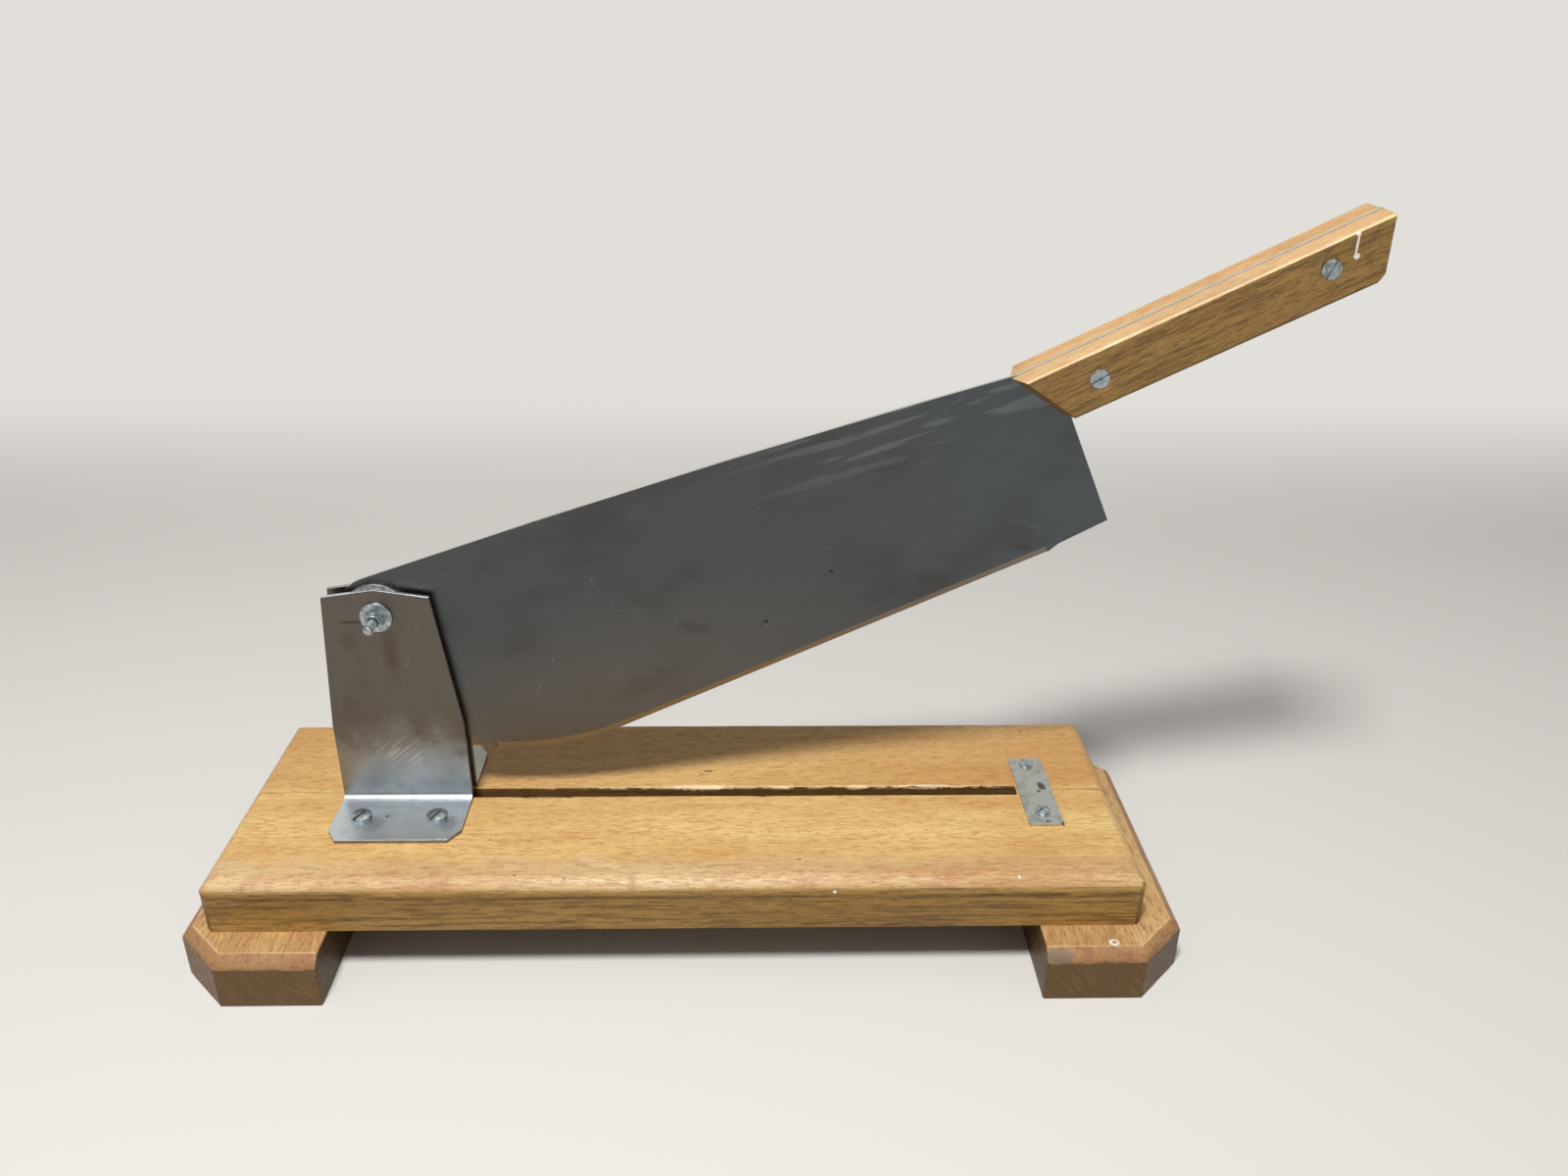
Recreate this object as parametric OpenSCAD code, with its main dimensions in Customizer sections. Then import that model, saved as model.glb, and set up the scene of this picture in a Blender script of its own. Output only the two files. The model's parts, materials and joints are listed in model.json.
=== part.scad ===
// Bread slicer: a long blade hinged at one end of a small beech board.
// The blade drops into a slot between the two planks of the board, and its
// blunt heel lands on a steel strap at the slot's far end.
// Origin: middle of the sole of the left foot, on the surface it stands on.
// +X runs along the board to the handle, +Y to the back, +Z up.

/* [Board] */
// Length of the two planks
board_l = 440; // [380:1:520]
// Width of the front plank
front_plank_w = 72.5; // [62:0.5:90]
// Width of the rear plank
rear_plank_w = 67.5; // [62:0.5:90]
// Thickness of both planks
plank_t = 27; // [22:0.5:32]
// Radius routed along the top edges of the planks
plank_edge_r = 8; // [3:0.5:10]
// Radius of the planks' upright outer corners
plank_corner_r = 5; // [2:0.5:8]
// Narrow gap left between the planks where they meet
joint_gap = 0.3; // [0.1:0.1:0.6]

/* [Slot] */
// How far the slot is cut into the front plank
slot_front = 4.6; // [3.6:0.1:6]
// How far the slot is cut into the rear plank
slot_rear = 3; // [2.4:0.1:5]

/* [Feet] */
// Width of a foot, along the board
foot_w = 69; // [56:1:76]
// Length of a foot, across the board
foot_l = 174; // [166:1:200]
// Thickness of a foot
foot_t = 27; // [22:0.5:32]
// How far the feet stand out in front of the board
foot_front = 19.5; // [14:0.5:22]
// How far the left foot stands out past the end of the board
left_overhang = 12.5; // [8:0.5:16]
// How far the right foot stands out past the end of the board
right_overhang = 20; // [10:0.5:24]
// Cut across the two outer corners of a foot
foot_corner = 22; // [12:1:26]
// Radius routed along the outer top edges of a foot
foot_edge_r = 7; // [3:0.5:10]

/* [Brackets] */
// Thickness of the angle that the brackets are cut from
angle_t = 2; // [1.5:0.25:2.5]
// Width of a bracket along the board
bracket_w = 64; // [58:1:72]
// Depth of a bracket's foot, from the slot outwards
bracket_foot_d = 37.5; // [34:0.5:44]
// Height of a bracket's shoulders above the board
bracket_h = 114; // [100:1:130]
// Height of the point of the bracket's gable above its shoulders
gable_h = 3.8; // [2:0.2:8]
// Height above the board where the sides start to lean in
taper_from = 44; // [30:1:60]
// How far the left side leans in at the shoulder
taper_left = 4.5; // [2:0.5:9]
// How far the right side leans in at the shoulder
taper_right = 9.5; // [4:0.5:12]
// Corner cut of a bracket's foot, along the board
foot_cut_x = 5.2; // [3:0.2:8]
// Corner cut of a bracket's foot, across the board
foot_cut_y = 8; // [4:0.5:10]
// Middle of the brackets, from the left end of the board
bracket_from_end = 81.5; // [74:0.5:100]

/* [Pivot] */
// Pivot axis, to the left of the brackets' middle
pivot_left = 2.9; // [0:0.1:6]
// Height of the pivot axis above the board
pivot_h = 104; // [98:0.5:106]
// Diameter of the pivot bolt
bolt_d = 5; // [4:0.5:6]
// Length of the pivot bolt under its head
bolt_l = 28; // [24:0.5:34]
// Running clearance around the pivot bolt, on the radius
pivot_fit = 0.05; // [0.02:0.01:0.09]
// Diameter of the wide spacers beside the blade
spacer_d = 31.5; // [24:0.5:34]
// Running clearance between a spacer and the blade
spacer_fit = 0.05; // [0.02:0.01:0.1]
// Diameter of the washers under the bolt's head and nut
washer_d = 15; // [12:0.5:18]
// Thickness of those washers
washer_t = 1.2; // [0.8:0.1:1.6]

/* [Blade] */
// Thickness of the blade and its tang
blade_t = 2; // [1.6:0.1:2.4]
// How far the blade stands up in this model, as an angle of its spine
blade_lift = 18.3; // [0:0.1:40]
// Radius of the blade's round end about the pivot
end_r = 18.4; // [16:0.2:22]
// Length of the spine, from the pivot to the handle
spine_l = 314.5; // [290:0.5:340]
// How far the spine bows up at its middle
spine_bow = 2.2; // [0.5:0.1:4]
// Radius of the belly
belly_r = 145; // [120:1:180]
// Place of the middle of the belly's radius along the blade
belly_u = 73.8; // [66:0.2:80]
// Depth of the cutting edge below the pivot at the belly
belly_depth = 96.4; // [90:0.2:99]
// Slope of the straight cutting edge against the spine
edge_slope = 6.9; // [5:0.1:8]
// Place along the blade where the front corner meets the belly
corner_u = 22.5; // [18:0.5:28]
// Width of the slanting cut on the front corner, along the blade
corner_w = 26; // [18:0.5:30]
// Place along the blade where the ground edge ends
ground_end_u = 308.5; // [295:0.5:311]
// Length of the small ramp up to the blunt heel
heel_ramp = 5.5; // [3:0.5:8]
// How far the blunt heel stands back from the ground edge
heel_step = 1.9; // [1:0.1:3]
// Slope of the blunt heel against the spine
heel_slope = 10.7; // [8:0.1:13]
// Length of the blade from the pivot to the heel's corner
heel_u = 338.3; // [325:0.5:346]
// Width of the ground bevel on each side
bevel_w = 3; // [2:0.2:5]
// Thickness left at the cutting edge
edge_t = 0.3; // [0.1:0.05:0.6]

/* [Handle] */
// Length of the handle along its top
handle_l = 162; // [140:1:180]
// Height of the handle
handle_h = 24.8; // [22:0.2:30]
// Thickness of one handle scale
scale_t = 13.3; // [11:0.1:16]
// Angle of the handle above the spine
handle_tilt = 8; // [4:0.5:12]
// How far the handle's front end slants back at the bottom
front_slant = 14.3; // [10:0.1:18]
// How far the handle's front end leans forward next to the blade
front_lean = 3.3; // [1:0.1:5]
// How far the handle's butt slants in at the bottom
butt_slant = 11.5; // [6:0.1:15]
// Cut across the lower corner of the butt
butt_cut = 2.6; // [1:0.1:4]
// Chamfer along the handle's long edges
scale_chamfer = 0.8; // [0.4:0.1:1.5]
// First handle screw, from the front end of the handle
screw_from_front = 29.7; // [26:0.1:40]
// Second handle screw, from the butt
screw_from_butt = 30.3; // [24:0.1:40]
// How far the second handle screw sits above the first
screw_rise = 1.8; // [0:0.1:3]
// Diameter of the handle screws' heads
handle_head_d = 8.5; // [7:0.1:10]
// Thickness of those heads
handle_head_t = 1.8; // [1.2:0.1:2.4]
// Diameter of the sleeves that the handle screws turn into
sleeve_d = 6; // [5.4:0.1:6.6]
// How far the sleeves reach into the front half of the handle
sleeve_reach = 4.6; // [2:0.2:6]
// Diameter of the handle screws' shanks
handle_shank_d = 4; // [3:0.1:4.4]

/* [Strap] */
// Width of the strap along the board
strap_w = 17.5; // [14:0.5:22]
// Length of the strap across the planks
strap_l = 58; // [50:1:70]
// Thickness of the strap
strap_t = 1.2; // [0.8:0.1:2]
// Gap between the end of the slot and the strap
strap_gap = 0.9; // [0.3:0.1:4]
// How far the strap sits in front of the joint between the planks
strap_forward = 2.4; // [0:0.1:5]
// Distance of the strap's screws from the joint
strap_screw_y = 20.9; // [16:0.1:22]

/* [Wood screws] */
// Head diameter of the bracket screws
bracket_head_d = 10; // [8:0.1:11]
// Head height of the bracket screws
bracket_head_h = 3; // [2.2:0.1:3.6]
// Shank diameter of the bracket screws
bracket_shank_d = 4.8; // [4:0.1:5]
// Length of the bracket screws under the head
bracket_screw_l = 22; // [14:1:24]
// Distance between the two screws of a bracket
bracket_screw_pitch = 37; // [30:0.5:42]
// Distance of the bracket screws from the slot
bracket_screw_y = 20; // [16:0.5:24]
// Head diameter of the strap screws
strap_head_d = 7.2; // [6:0.1:8]
// Head height of the strap screws
strap_head_h = 2; // [1.4:0.1:2.6]
// Shank diameter of the strap screws
strap_shank_d = 3.5; // [3:0.1:4]
// Length of the strap screws under the head
strap_screw_l = 16; // [10:1:20]
// Head diameter of the foot screws
foot_head_d = 9; // [8:0.1:10]
// Shank diameter of the foot screws
foot_shank_d = 4.5; // [4:0.1:5]
// Length of the foot screws
foot_screw_l = 44; // [38:1:46]
// Depth of the foot screws' heads inside the sole
foot_screw_sink = 1.5; // [0.5:0.1:3]
// Distance of the outer foot screws from the joint
foot_screw_far = 52; // [44:1:56]
// Distance of the inner foot screws from the joint
foot_screw_near = 21; // [16:1:30]

/* [Hidden] */
$fn = 96;
// Overlap of cutting shapes past the surface that they cut
eps = 0.5;
// Reach of cutting shapes that only have to be large enough
far = 400;
// Overlap of two shapes that are joined into one solid
lap = 0.1;
// Growth that keeps two crossing shapes from meeting edge to edge
hair = 0.02;
// Routed rounds run out into the flat faces at a small angle: their circle
// would stand out past the faces by this much
round_dip = 0.06;
// Clearance of a screw in the wood, on the radius
wood_fit = 0.05;
// Clearance of a screw in metal, on the radius
metal_fit = 0.3;
// Width of a screwdriver's slot, as a share of the head's diameter
driver_share = 0.13;
// Depth of a screwdriver's slot in a flat head
driver_depth = 1;
// Pointed end of a wood screw, as shares of its shank's diameter
point_share = 1.2;
tip_share = 0.3;
// How far the face of a raised head is domed
dome_rise = 0.6;
// Cut around the end of the pivot bolt
bolt_end_cut = 0.6;

// Places of the board, the slot and the feet
board_x0 = left_overhang - foot_w / 2;
board_x1 = board_x0 + board_l;
board_y0 = foot_front - foot_l / 2;
joint_y = board_y0 + front_plank_w;
board_y1 = joint_y + rear_plank_w;
board_z = foot_t + plank_t;
slot_x0 = foot_w / 2;
slot_x1 = board_x1 + right_overhang - foot_w;
slot_y0 = joint_y - slot_front;
slot_y1 = joint_y + slot_rear;
slot_mid = (slot_y0 + slot_y1) / 2;
left_screws_x = (board_x0 + slot_x0) / 2;
right_screws_x = (slot_x1 + board_x1) / 2;
strap_x = slot_x1 + strap_gap + strap_w / 2;

// Places of the brackets and the pivot
bracket_x = board_x0 + bracket_from_end;
pivot_x = bracket_x - pivot_left;
pivot_z = board_z + pivot_h;

// Sizes of standard small parts that follow the bolt
nut_af = 1.6 * bolt_d;
nut_t = 0.8 * bolt_d;
head_t = 0.7 * bolt_d;

// Spacers fill the room between a bracket and the blade
spacer_t = (slot_y1 - slot_y0 - blade_t) / 2 - spacer_fit;

// Straight cutting edge: it all but touches the belly's round, which it
// crosses at a very small angle
edge_dip = 0.1;
belly_v0 = belly_r - belly_depth;
edge_u0 = belly_u + (belly_r - edge_dip) * sin(edge_slope);
edge_v0 = belly_v0 - (belly_r - edge_dip) * cos(edge_slope);
function edge_v(u) = edge_v0 + (u - edge_u0) * tan(edge_slope);
function belly_v(u) = belly_v0 - sqrt(belly_r * belly_r - (u - belly_u) * (u - belly_u));

// Corners of the blade's outline, in the blade's own frame
heel_start = [ground_end_u + heel_ramp, edge_v(ground_end_u + heel_ramp) + heel_step];
heel_corner = [heel_u, heel_start[1] + (heel_u - heel_start[0]) * tan(heel_slope)];
handle_foot = handle_point(front_slant, -handle_h);
corner_low = [corner_u, belly_v(corner_u)];
corner_run = (corner_low[1] - edge_v(corner_u)) / (1 + tan(edge_slope));
corner_tip = [corner_u + corner_run, corner_low[1] - corner_run];
corner_high = [corner_u - corner_w, corner_low[1] + corner_w];

// The front of the blade runs from the corner to just inside the round end
round_inset = 0.3;
inner_r = end_r - round_inset;
front_angle = atan2(corner_high[1], corner_high[0]) - acos(inner_r / norm(corner_high));
front_top = [inner_r * cos(front_angle), inner_r * sin(front_angle)];

// Point of the handle's own frame, in the blade's frame
function handle_point(p, q) = [
    spine_l + p * cos(handle_tilt) - q * sin(handle_tilt),
    end_r + p * sin(handle_tilt) + q * cos(handle_tilt)
];

// Outline of the handle in its own frame, from its upper front corner
handle_outline = [
    [0, 0],
    [handle_l, 0],
    [handle_l - butt_slant * (1 - butt_cut / handle_h), butt_cut - handle_h],
    [handle_l - butt_slant - butt_cut, -handle_h],
    [front_slant, -handle_h]
];
handle_screw_p = [screw_from_front, handle_l - screw_from_butt];
handle_screw_q = [-handle_h / 2, screw_rise - handle_h / 2];
sleeve_l = scale_t + blade_t + sleeve_reach;
sleeve_floor = handle_head_t + 1.1;

// Cutter that rounds a top edge: the edge runs along X at y = 0, z = 0,
// and the wood lies at negative y and z
module round_edge_cut(l, r) {
    middle = round_dip - r;
    difference() {
        translate([-l / 2, -r, -r])
            cube([l, r + eps, r + eps]);
        translate([-l / 2 - 1, middle, middle])
            rotate([0, 90, 0])
                cylinder(h = l + 2, r = r);
    }
}

// Cutter that rounds an upright corner: the corner is at x = 0, y = 0,
// and the wood lies at negative x and y
module round_corner_cut(h, r) {
    middle = round_dip - r;
    difference() {
        translate([-r, -r, 0])
            cube([r + eps, r + eps, h]);
        translate([middle, middle, -1])
            cylinder(h = h + 2, r = r);
    }
}

// One plank of the board: side is -1 for the front plank, 1 for the rear one
module plank(side) {
    outer_y = side < 0 ? board_y0 : board_y1;
    inner_y = joint_y + side * joint_gap / 2;
    slot_y = side < 0 ? slot_y0 : slot_y1;
    difference() {
        translate([board_x0, min(outer_y, inner_y), foot_t])
            cube([board_l, abs(outer_y - inner_y), plank_t]);
        translate([(board_x0 + board_x1) / 2, outer_y, board_z])
            rotate([0, 0, side < 0 ? 180 : 0])
                round_edge_cut(board_l + 2, plank_edge_r);
        translate([board_x0, joint_y, board_z])
            rotate([0, 0, 90])
                round_edge_cut(far, plank_edge_r);
        translate([board_x1, joint_y, board_z])
            rotate([0, 0, -90])
                round_edge_cut(far, plank_edge_r);
        translate([board_x0, outer_y, foot_t - 1])
            rotate([0, 0, side < 0 ? 180 : 90])
                round_corner_cut(plank_t + 2, plank_corner_r);
        translate([board_x1, outer_y, foot_t - 1])
            rotate([0, 0, side < 0 ? -90 : 0])
                round_corner_cut(plank_t + 2, plank_corner_r);
        translate([slot_x0, min(slot_y, joint_y - side), foot_t - 1])
            cube([slot_x1 - slot_x0, abs(slot_y - joint_y + side), plank_t + 2]);
        foot_screws_at(left_screws_x, wood_fit);
        foot_screws_at(right_screws_x, wood_fit);
        bracket_screws_at(side, wood_fit);
        strap_screws_at(wood_fit);
    }
}

// Foot with its inner face at x = 0 and its body on the +X side
module foot_body() {
    outer = foot_w - foot_corner;
    half = foot_l / 2;
    difference() {
        linear_extrude(foot_t)
            polygon([
                [0, -half], [outer, -half], [foot_w, foot_corner - half],
                [foot_w, half - foot_corner], [outer, half], [0, half]
            ]);
        translate([foot_w, 0, foot_t])
            rotate([0, 0, -90])
                round_edge_cut(far, foot_edge_r);
        for (s = [-1, 1]) {
            translate([0, s * half, foot_t])
                rotate([0, 0, s < 0 ? 180 : 0])
                    round_edge_cut(far, foot_edge_r);
            translate([foot_w - foot_corner / 2, s * (half - foot_corner / 2), foot_t])
                rotate([0, 0, s < 0 ? -135 : -45])
                    round_edge_cut(far, foot_edge_r);
        }
    }
}

// Countersunk wood screw, its head's face at z = 0 and its point upwards
module sunk_screw(d, head_d, l, grow) {
    cone = (head_d - d) / 2;
    point = d * point_share;
    cylinder(h = cone + grow, d1 = head_d + 2 * grow, d2 = d);
    translate([0, 0, cone])
        cylinder(h = l - cone - point, d = d + 2 * grow);
    translate([0, 0, l - point])
        cylinder(h = point + grow, d1 = d + 2 * grow, d2 = d * tip_share + 2 * grow);
}

// Straight slot for a screwdriver, cut into a head's face at z = 0
module driver_slot(d, depth, turn) {
    w = d * driver_share;
    rotate([0, 0, turn])
        translate([-d, -w / 2, -eps])
            cube([2 * d, w, depth + eps]);
}

// The four screws that hold one foot, or their holes when grow is set
module foot_screws_at(x, grow) {
    for (y = [-foot_screw_far, -foot_screw_near, foot_screw_near, foot_screw_far])
        translate([x, joint_y + y, foot_screw_sink]) {
            if (grow == 0)
                difference() {
                    sunk_screw(foot_shank_d, foot_head_d, foot_screw_l, 0);
                    driver_slot(foot_head_d, driver_depth, y);
                }
            else {
                sunk_screw(foot_shank_d, foot_head_d, foot_screw_l, grow);
                translate([0, 0, -foot_screw_sink - eps])
                    cylinder(h = foot_screw_sink + eps, d = foot_head_d + 2 * grow);
            }
        }
}

// Wood screw with a raised, slightly domed head that sits on z = 0
module raised_screw(d, head_d, head_h, l, turn) {
    dome_r = (head_d * head_d / 4 + dome_rise * dome_rise) / (2 * dome_rise);
    point = d * point_share;
    difference() {
        intersection() {
            cylinder(h = head_h, d = head_d);
            translate([0, 0, head_h - dome_r])
                sphere(r = dome_r);
        }
        translate([0, 0, head_h])
            mirror([0, 0, 1])
                driver_slot(head_d, head_h / 2, turn);
    }
    translate([0, 0, point - l])
        cylinder(h = l - point + lap, d = d);
    translate([0, 0, -l])
        cylinder(h = point, d1 = d * tip_share, d2 = d);
}

// Hole for the shank of a raised screw, down from z = 0
module raised_screw_hole(d, l, grow) {
    point = d * point_share;
    translate([0, 0, point - l])
        cylinder(h = l - point + eps, d = d + 2 * grow);
    translate([0, 0, -l - grow])
        cylinder(h = point + grow, d1 = d * tip_share + 2 * grow, d2 = d + 2 * grow);
}

// Places of the two screws in the foot of a bracket
module at_bracket_screws(side, z) {
    for (s = [-1, 1])
        translate([
            bracket_x + s * bracket_screw_pitch / 2,
            (side < 0 ? slot_y0 : slot_y1) + side * bracket_screw_y,
            z
        ])
            children();
}

module bracket_screws_at(side, grow) {
    at_bracket_screws(side, board_z + angle_t)
        raised_screw_hole(bracket_shank_d, bracket_screw_l, grow);
}

// Places of the strap's two screws
module strap_screws_at(grow) {
    for (s = [-1, 1])
        translate([strap_x, joint_y + s * strap_screw_y, board_z + strap_t])
            raised_screw_hole(strap_shank_d, strap_screw_l, grow);
}

// Aluminium angle: side is -1 for the front bracket, 1 for the rear one
module bracket(side) {
    left = -bracket_w / 2;
    right = bracket_w / 2;
    left_shoulder = [left + taper_left, bracket_h];
    right_shoulder = [right - taper_right, bracket_h];
    translate([bracket_x, side < 0 ? slot_y0 : slot_y1, board_z])
        mirror([0, side > 0 ? 1 : 0, 0])
            difference() {
                union() {
                    rotate([90, 0, 0])
                        linear_extrude(angle_t)
                            polygon([
                                [left, 0], [right, 0], [right, taper_from],
                                right_shoulder, [-pivot_left, bracket_h + gable_h],
                                left_shoulder, [left, taper_from]
                            ]);
                    linear_extrude(angle_t)
                        polygon([
                            [left, 0], [left, foot_cut_y - bracket_foot_d],
                            [left + foot_cut_x, -bracket_foot_d],
                            [right - foot_cut_x, -bracket_foot_d],
                            [right, foot_cut_y - bracket_foot_d], [right, 0]
                        ]);
                }
                translate([-pivot_left, 1, pivot_h])
                    rotate([90, 0, 0])
                        cylinder(h = angle_t + 2, d = bolt_d + 2 * pivot_fit);
                for (s = [-1, 1])
                    translate([s * bracket_screw_pitch / 2, -bracket_screw_y, -1])
                        cylinder(h = angle_t + 2, d = bracket_shank_d + 2 * metal_fit);
            }
}

// Puts a child on the pivot axis, its z = 0 at the given y, +Z to the front
module on_pivot(y) {
    translate([pivot_x, y, pivot_z])
        rotate([90, 0, 0])
            children();
}

// Hexagon with its corners turned on a lathe, z from 0 to h
module hexagon(af, h, both_ends) {
    corner = af / cos(30);
    turned = (corner - af) / 2 * tan(30);
    low = both_ends ? turned : 0;
    intersection() {
        rotate([0, 0, 90])
            cylinder(h = h, d = corner, $fn = 6);
        union() {
            translate([0, 0, h - turned])
                cylinder(h = turned, d1 = corner + hair, d2 = af);
            translate([0, 0, low])
                cylinder(h = h - turned - low, d = corner + hair);
            if (both_ends)
                cylinder(h = turned, d1 = af, d2 = corner + hair);
        }
    }
}

module washer() {
    difference() {
        cylinder(h = washer_t, d = washer_d);
        translate([0, 0, -1])
            cylinder(h = washer_t + 2, d = bolt_d + 2 * metal_fit);
    }
}

module spacer() {
    difference() {
        cylinder(h = spacer_t, d = spacer_d);
        translate([0, 0, -1])
            cylinder(h = spacer_t + 2, d = bolt_d + 2 * pivot_fit);
    }
}

// Stands a shape that is drawn in the blade's frame in its place:
// drawn x along the spine, drawn y up, drawn z to the front
module in_blade_frame() {
    translate([pivot_x, slot_mid, pivot_z])
        rotate([0, -blade_lift, 0])
            rotate([90, 0, 0])
                children();
}

module in_handle_frame() {
    in_blade_frame()
        translate([spine_l, end_r, 0])
            rotate([0, 0, handle_tilt])
                children();
}

// Plate of the blade and its tang, before the round cuts, z from 0
module blade_plate() {
    top = end_r + spine_bow + eps;
    tang_lap = 10;
    linear_extrude(blade_t) {
        polygon([
            [0, 0], front_top, corner_high, corner_tip,
            [ground_end_u, edge_v(ground_end_u)], heel_start, heel_corner,
            handle_foot, [spine_l, end_r], [spine_l, top], [0, top]
        ]);
        translate([spine_l, end_r])
            rotate(handle_tilt)
                polygon([
                    [0, 0], handle_outline[1], handle_outline[2],
                    handle_outline[3], [front_slant - tang_lap, -handle_h]
                ]);
    }
    cylinder(h = blade_t, r = end_r);
}

// Block around the belly's arc, up to where the straight edge takes over:
// it starts a given run before the front corner
module belly_block(run, z0, h) {
    below = 20;
    translate([corner_u - run, -belly_depth - below, z0])
        cube([edge_u0 - corner_u + run, 2 * below, h]);
}

// What the belly's round leaves off the plate, z from -1
module belly_cut() {
    run = 5;
    difference() {
        belly_block(run, -1, blade_t + 2);
        translate([belly_u, belly_v0, -2])
            cylinder(h = blade_t + 4, r = belly_r, $fn = 360);
    }
}

// What the bow of the spine leaves off the plate, z from -1
module spine_cut() {
    bow_r = (spine_l * spine_l / 4 + spine_bow * spine_bow) / (2 * spine_bow);
    difference() {
        translate([0, end_r, -1])
            cube([spine_l, spine_bow + 2 * eps, blade_t + 2]);
        translate([spine_l / 2, end_r + spine_bow - bow_r, -2])
            cylinder(h = blade_t + 4, r = bow_r, $fn = 720);
    }
}

// Wedge taken off one side of the blade along its edge, drawn as a
// section: x is the distance in from the edge, y the height off the blade
bevel_section = [
    [bevel_w, blade_t / 2],
    [-eps, edge_t / 2 - eps * (blade_t - edge_t) / 2 / bevel_w],
    [-eps, blade_t],
    [bevel_w, blade_t]
];

// The straight part of the bevel starts a short run inside the round part
module bevel_cut() {
    run = 12;
    intersection() {
        translate([belly_u, belly_v0, 0])
            rotate_extrude($fn = 360)
                polygon([for (p = bevel_section) [belly_r - p[0], p[1]]]);
        belly_block(0, -blade_t, 2 * blade_t);
    }
    translate([edge_u0, edge_v0, 0])
        rotate([0, 0, edge_slope])
            translate([-run, 0, 0])
                rotate([90, 0, 90])
                    linear_extrude(run + (ground_end_u - edge_u0) / cos(edge_slope))
                        polygon(bevel_section);
}

// Turned barrel of a handle sleeve, its head's face at z = 0, pointing down
module handle_sleeve_solid() {
    difference() {
        union() {
            translate([0, 0, -handle_head_t])
                cylinder(h = handle_head_t, d = handle_head_d);
            translate([0, 0, -sleeve_l])
                cylinder(h = sleeve_l, d = sleeve_d);
        }
        translate([0, 0, -sleeve_l - 1])
            cylinder(h = sleeve_l + 1 - sleeve_floor, d = handle_shank_d + 2 * wood_fit);
        mirror([0, 0, 1])
            driver_slot(handle_head_d, driver_depth, 60);
    }
}

module handle_screw_solid(turn) {
    shank = 2 * scale_t + blade_t - 2 * sleeve_floor;
    difference() {
        translate([0, 0, -handle_head_t])
            cylinder(h = handle_head_t, d = handle_head_d);
        mirror([0, 0, 1])
            driver_slot(handle_head_d, driver_depth, turn);
    }
    translate([0, 0, -shank])
        cylinder(h = shank - handle_head_t + lap, d = handle_shank_d);
}

// Holes for the handle screws through one scale; z = 0 at the outer face
module handle_holes() {
    for (i = [0, 1])
        translate([handle_screw_p[i], handle_screw_q[i], 0]) {
            translate([0, 0, -handle_head_t - wood_fit])
                cylinder(h = handle_head_t + 1, d = handle_head_d + 2 * wood_fit);
            translate([0, 0, -scale_t - 1])
                cylinder(h = scale_t + 2, d = sleeve_d + 2 * wood_fit);
        }
}

// One handle scale, its inner face at z = 0 and its outer face at scale_t
module handle_scale() {
    lean = atan(front_lean / scale_t);
    slant = atan(front_slant / handle_h);
    chamfer_side = scale_chamfer * sqrt(2);
    difference() {
        linear_extrude(scale_t)
            polygon([
                [-2 * front_lean, 0],
                handle_outline[1],
                handle_outline[2],
                handle_outline[3],
                [front_slant - 2 * front_lean, -handle_h]
            ]);
        translate([0, 0, scale_t])
            rotate([0, 0, slant])
                rotate([0, lean, 0])
                    translate([-far, -far / 2, -far / 2])
                        cube(far);
        translate([0, 0, scale_t])
            handle_holes();
        for (q = [0, -handle_h])
            translate([handle_l / 2, q, scale_t])
                rotate([45, 0, 0])
                    cube([far, chamfer_side, chamfer_side], center = true);
    }
}

module front_plank() {
    color("burlywood") plank(-1);
}

module rear_plank() {
    color("burlywood") plank(1);
}

module left_foot() {
    color("peru")
        difference() {
            translate([foot_w / 2, 0, 0])
                mirror([1, 0, 0])
                    foot_body();
            foot_screws_at(left_screws_x, wood_fit);
        }
}

module right_foot() {
    color("peru")
        difference() {
            translate([slot_x1, 0, 0])
                foot_body();
            foot_screws_at(right_screws_x, wood_fit);
        }
}

module left_foot_screws() {
    color("silver") foot_screws_at(left_screws_x, 0);
}

module right_foot_screws() {
    color("silver") foot_screws_at(right_screws_x, 0);
}

module front_bracket() {
    color("lightgray") bracket(-1);
}

module rear_bracket() {
    color("lightgray") bracket(1);
}

module front_bracket_screws() {
    color("gainsboro")
        at_bracket_screws(-1, board_z + angle_t)
            raised_screw(bracket_shank_d, bracket_head_d, bracket_head_h, bracket_screw_l, 62);
}

module rear_bracket_screws() {
    color("gainsboro")
        at_bracket_screws(1, board_z + angle_t)
            raised_screw(bracket_shank_d, bracket_head_d, bracket_head_h, bracket_screw_l, 20);
}

module pivot_bolt() {
    color("silver")
        on_pivot(slot_y1 + angle_t + washer_t) {
            translate([0, 0, bolt_l - bolt_end_cut])
                cylinder(h = bolt_end_cut, d1 = bolt_d, d2 = bolt_d - 2 * bolt_end_cut);
            cylinder(h = bolt_l - bolt_end_cut, d = bolt_d);
            mirror([0, 0, 1])
                hexagon(nut_af, head_t, false);
        }
}

module pivot_nut() {
    color("silver")
        on_pivot(slot_y0 - angle_t - washer_t)
            difference() {
                hexagon(nut_af, nut_t, true);
                translate([0, 0, -1])
                    cylinder(h = nut_t + 2, d = bolt_d + 2 * pivot_fit);
            }
}

module front_washer() {
    color("gainsboro") on_pivot(slot_y0 - angle_t) washer();
}

module rear_washer() {
    color("gainsboro") on_pivot(slot_y1 + angle_t + washer_t) washer();
}

module front_spacer() {
    color("gray") on_pivot(slot_y0 + spacer_t) spacer();
}

module rear_spacer() {
    color("gray") on_pivot(slot_y1) spacer();
}

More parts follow.
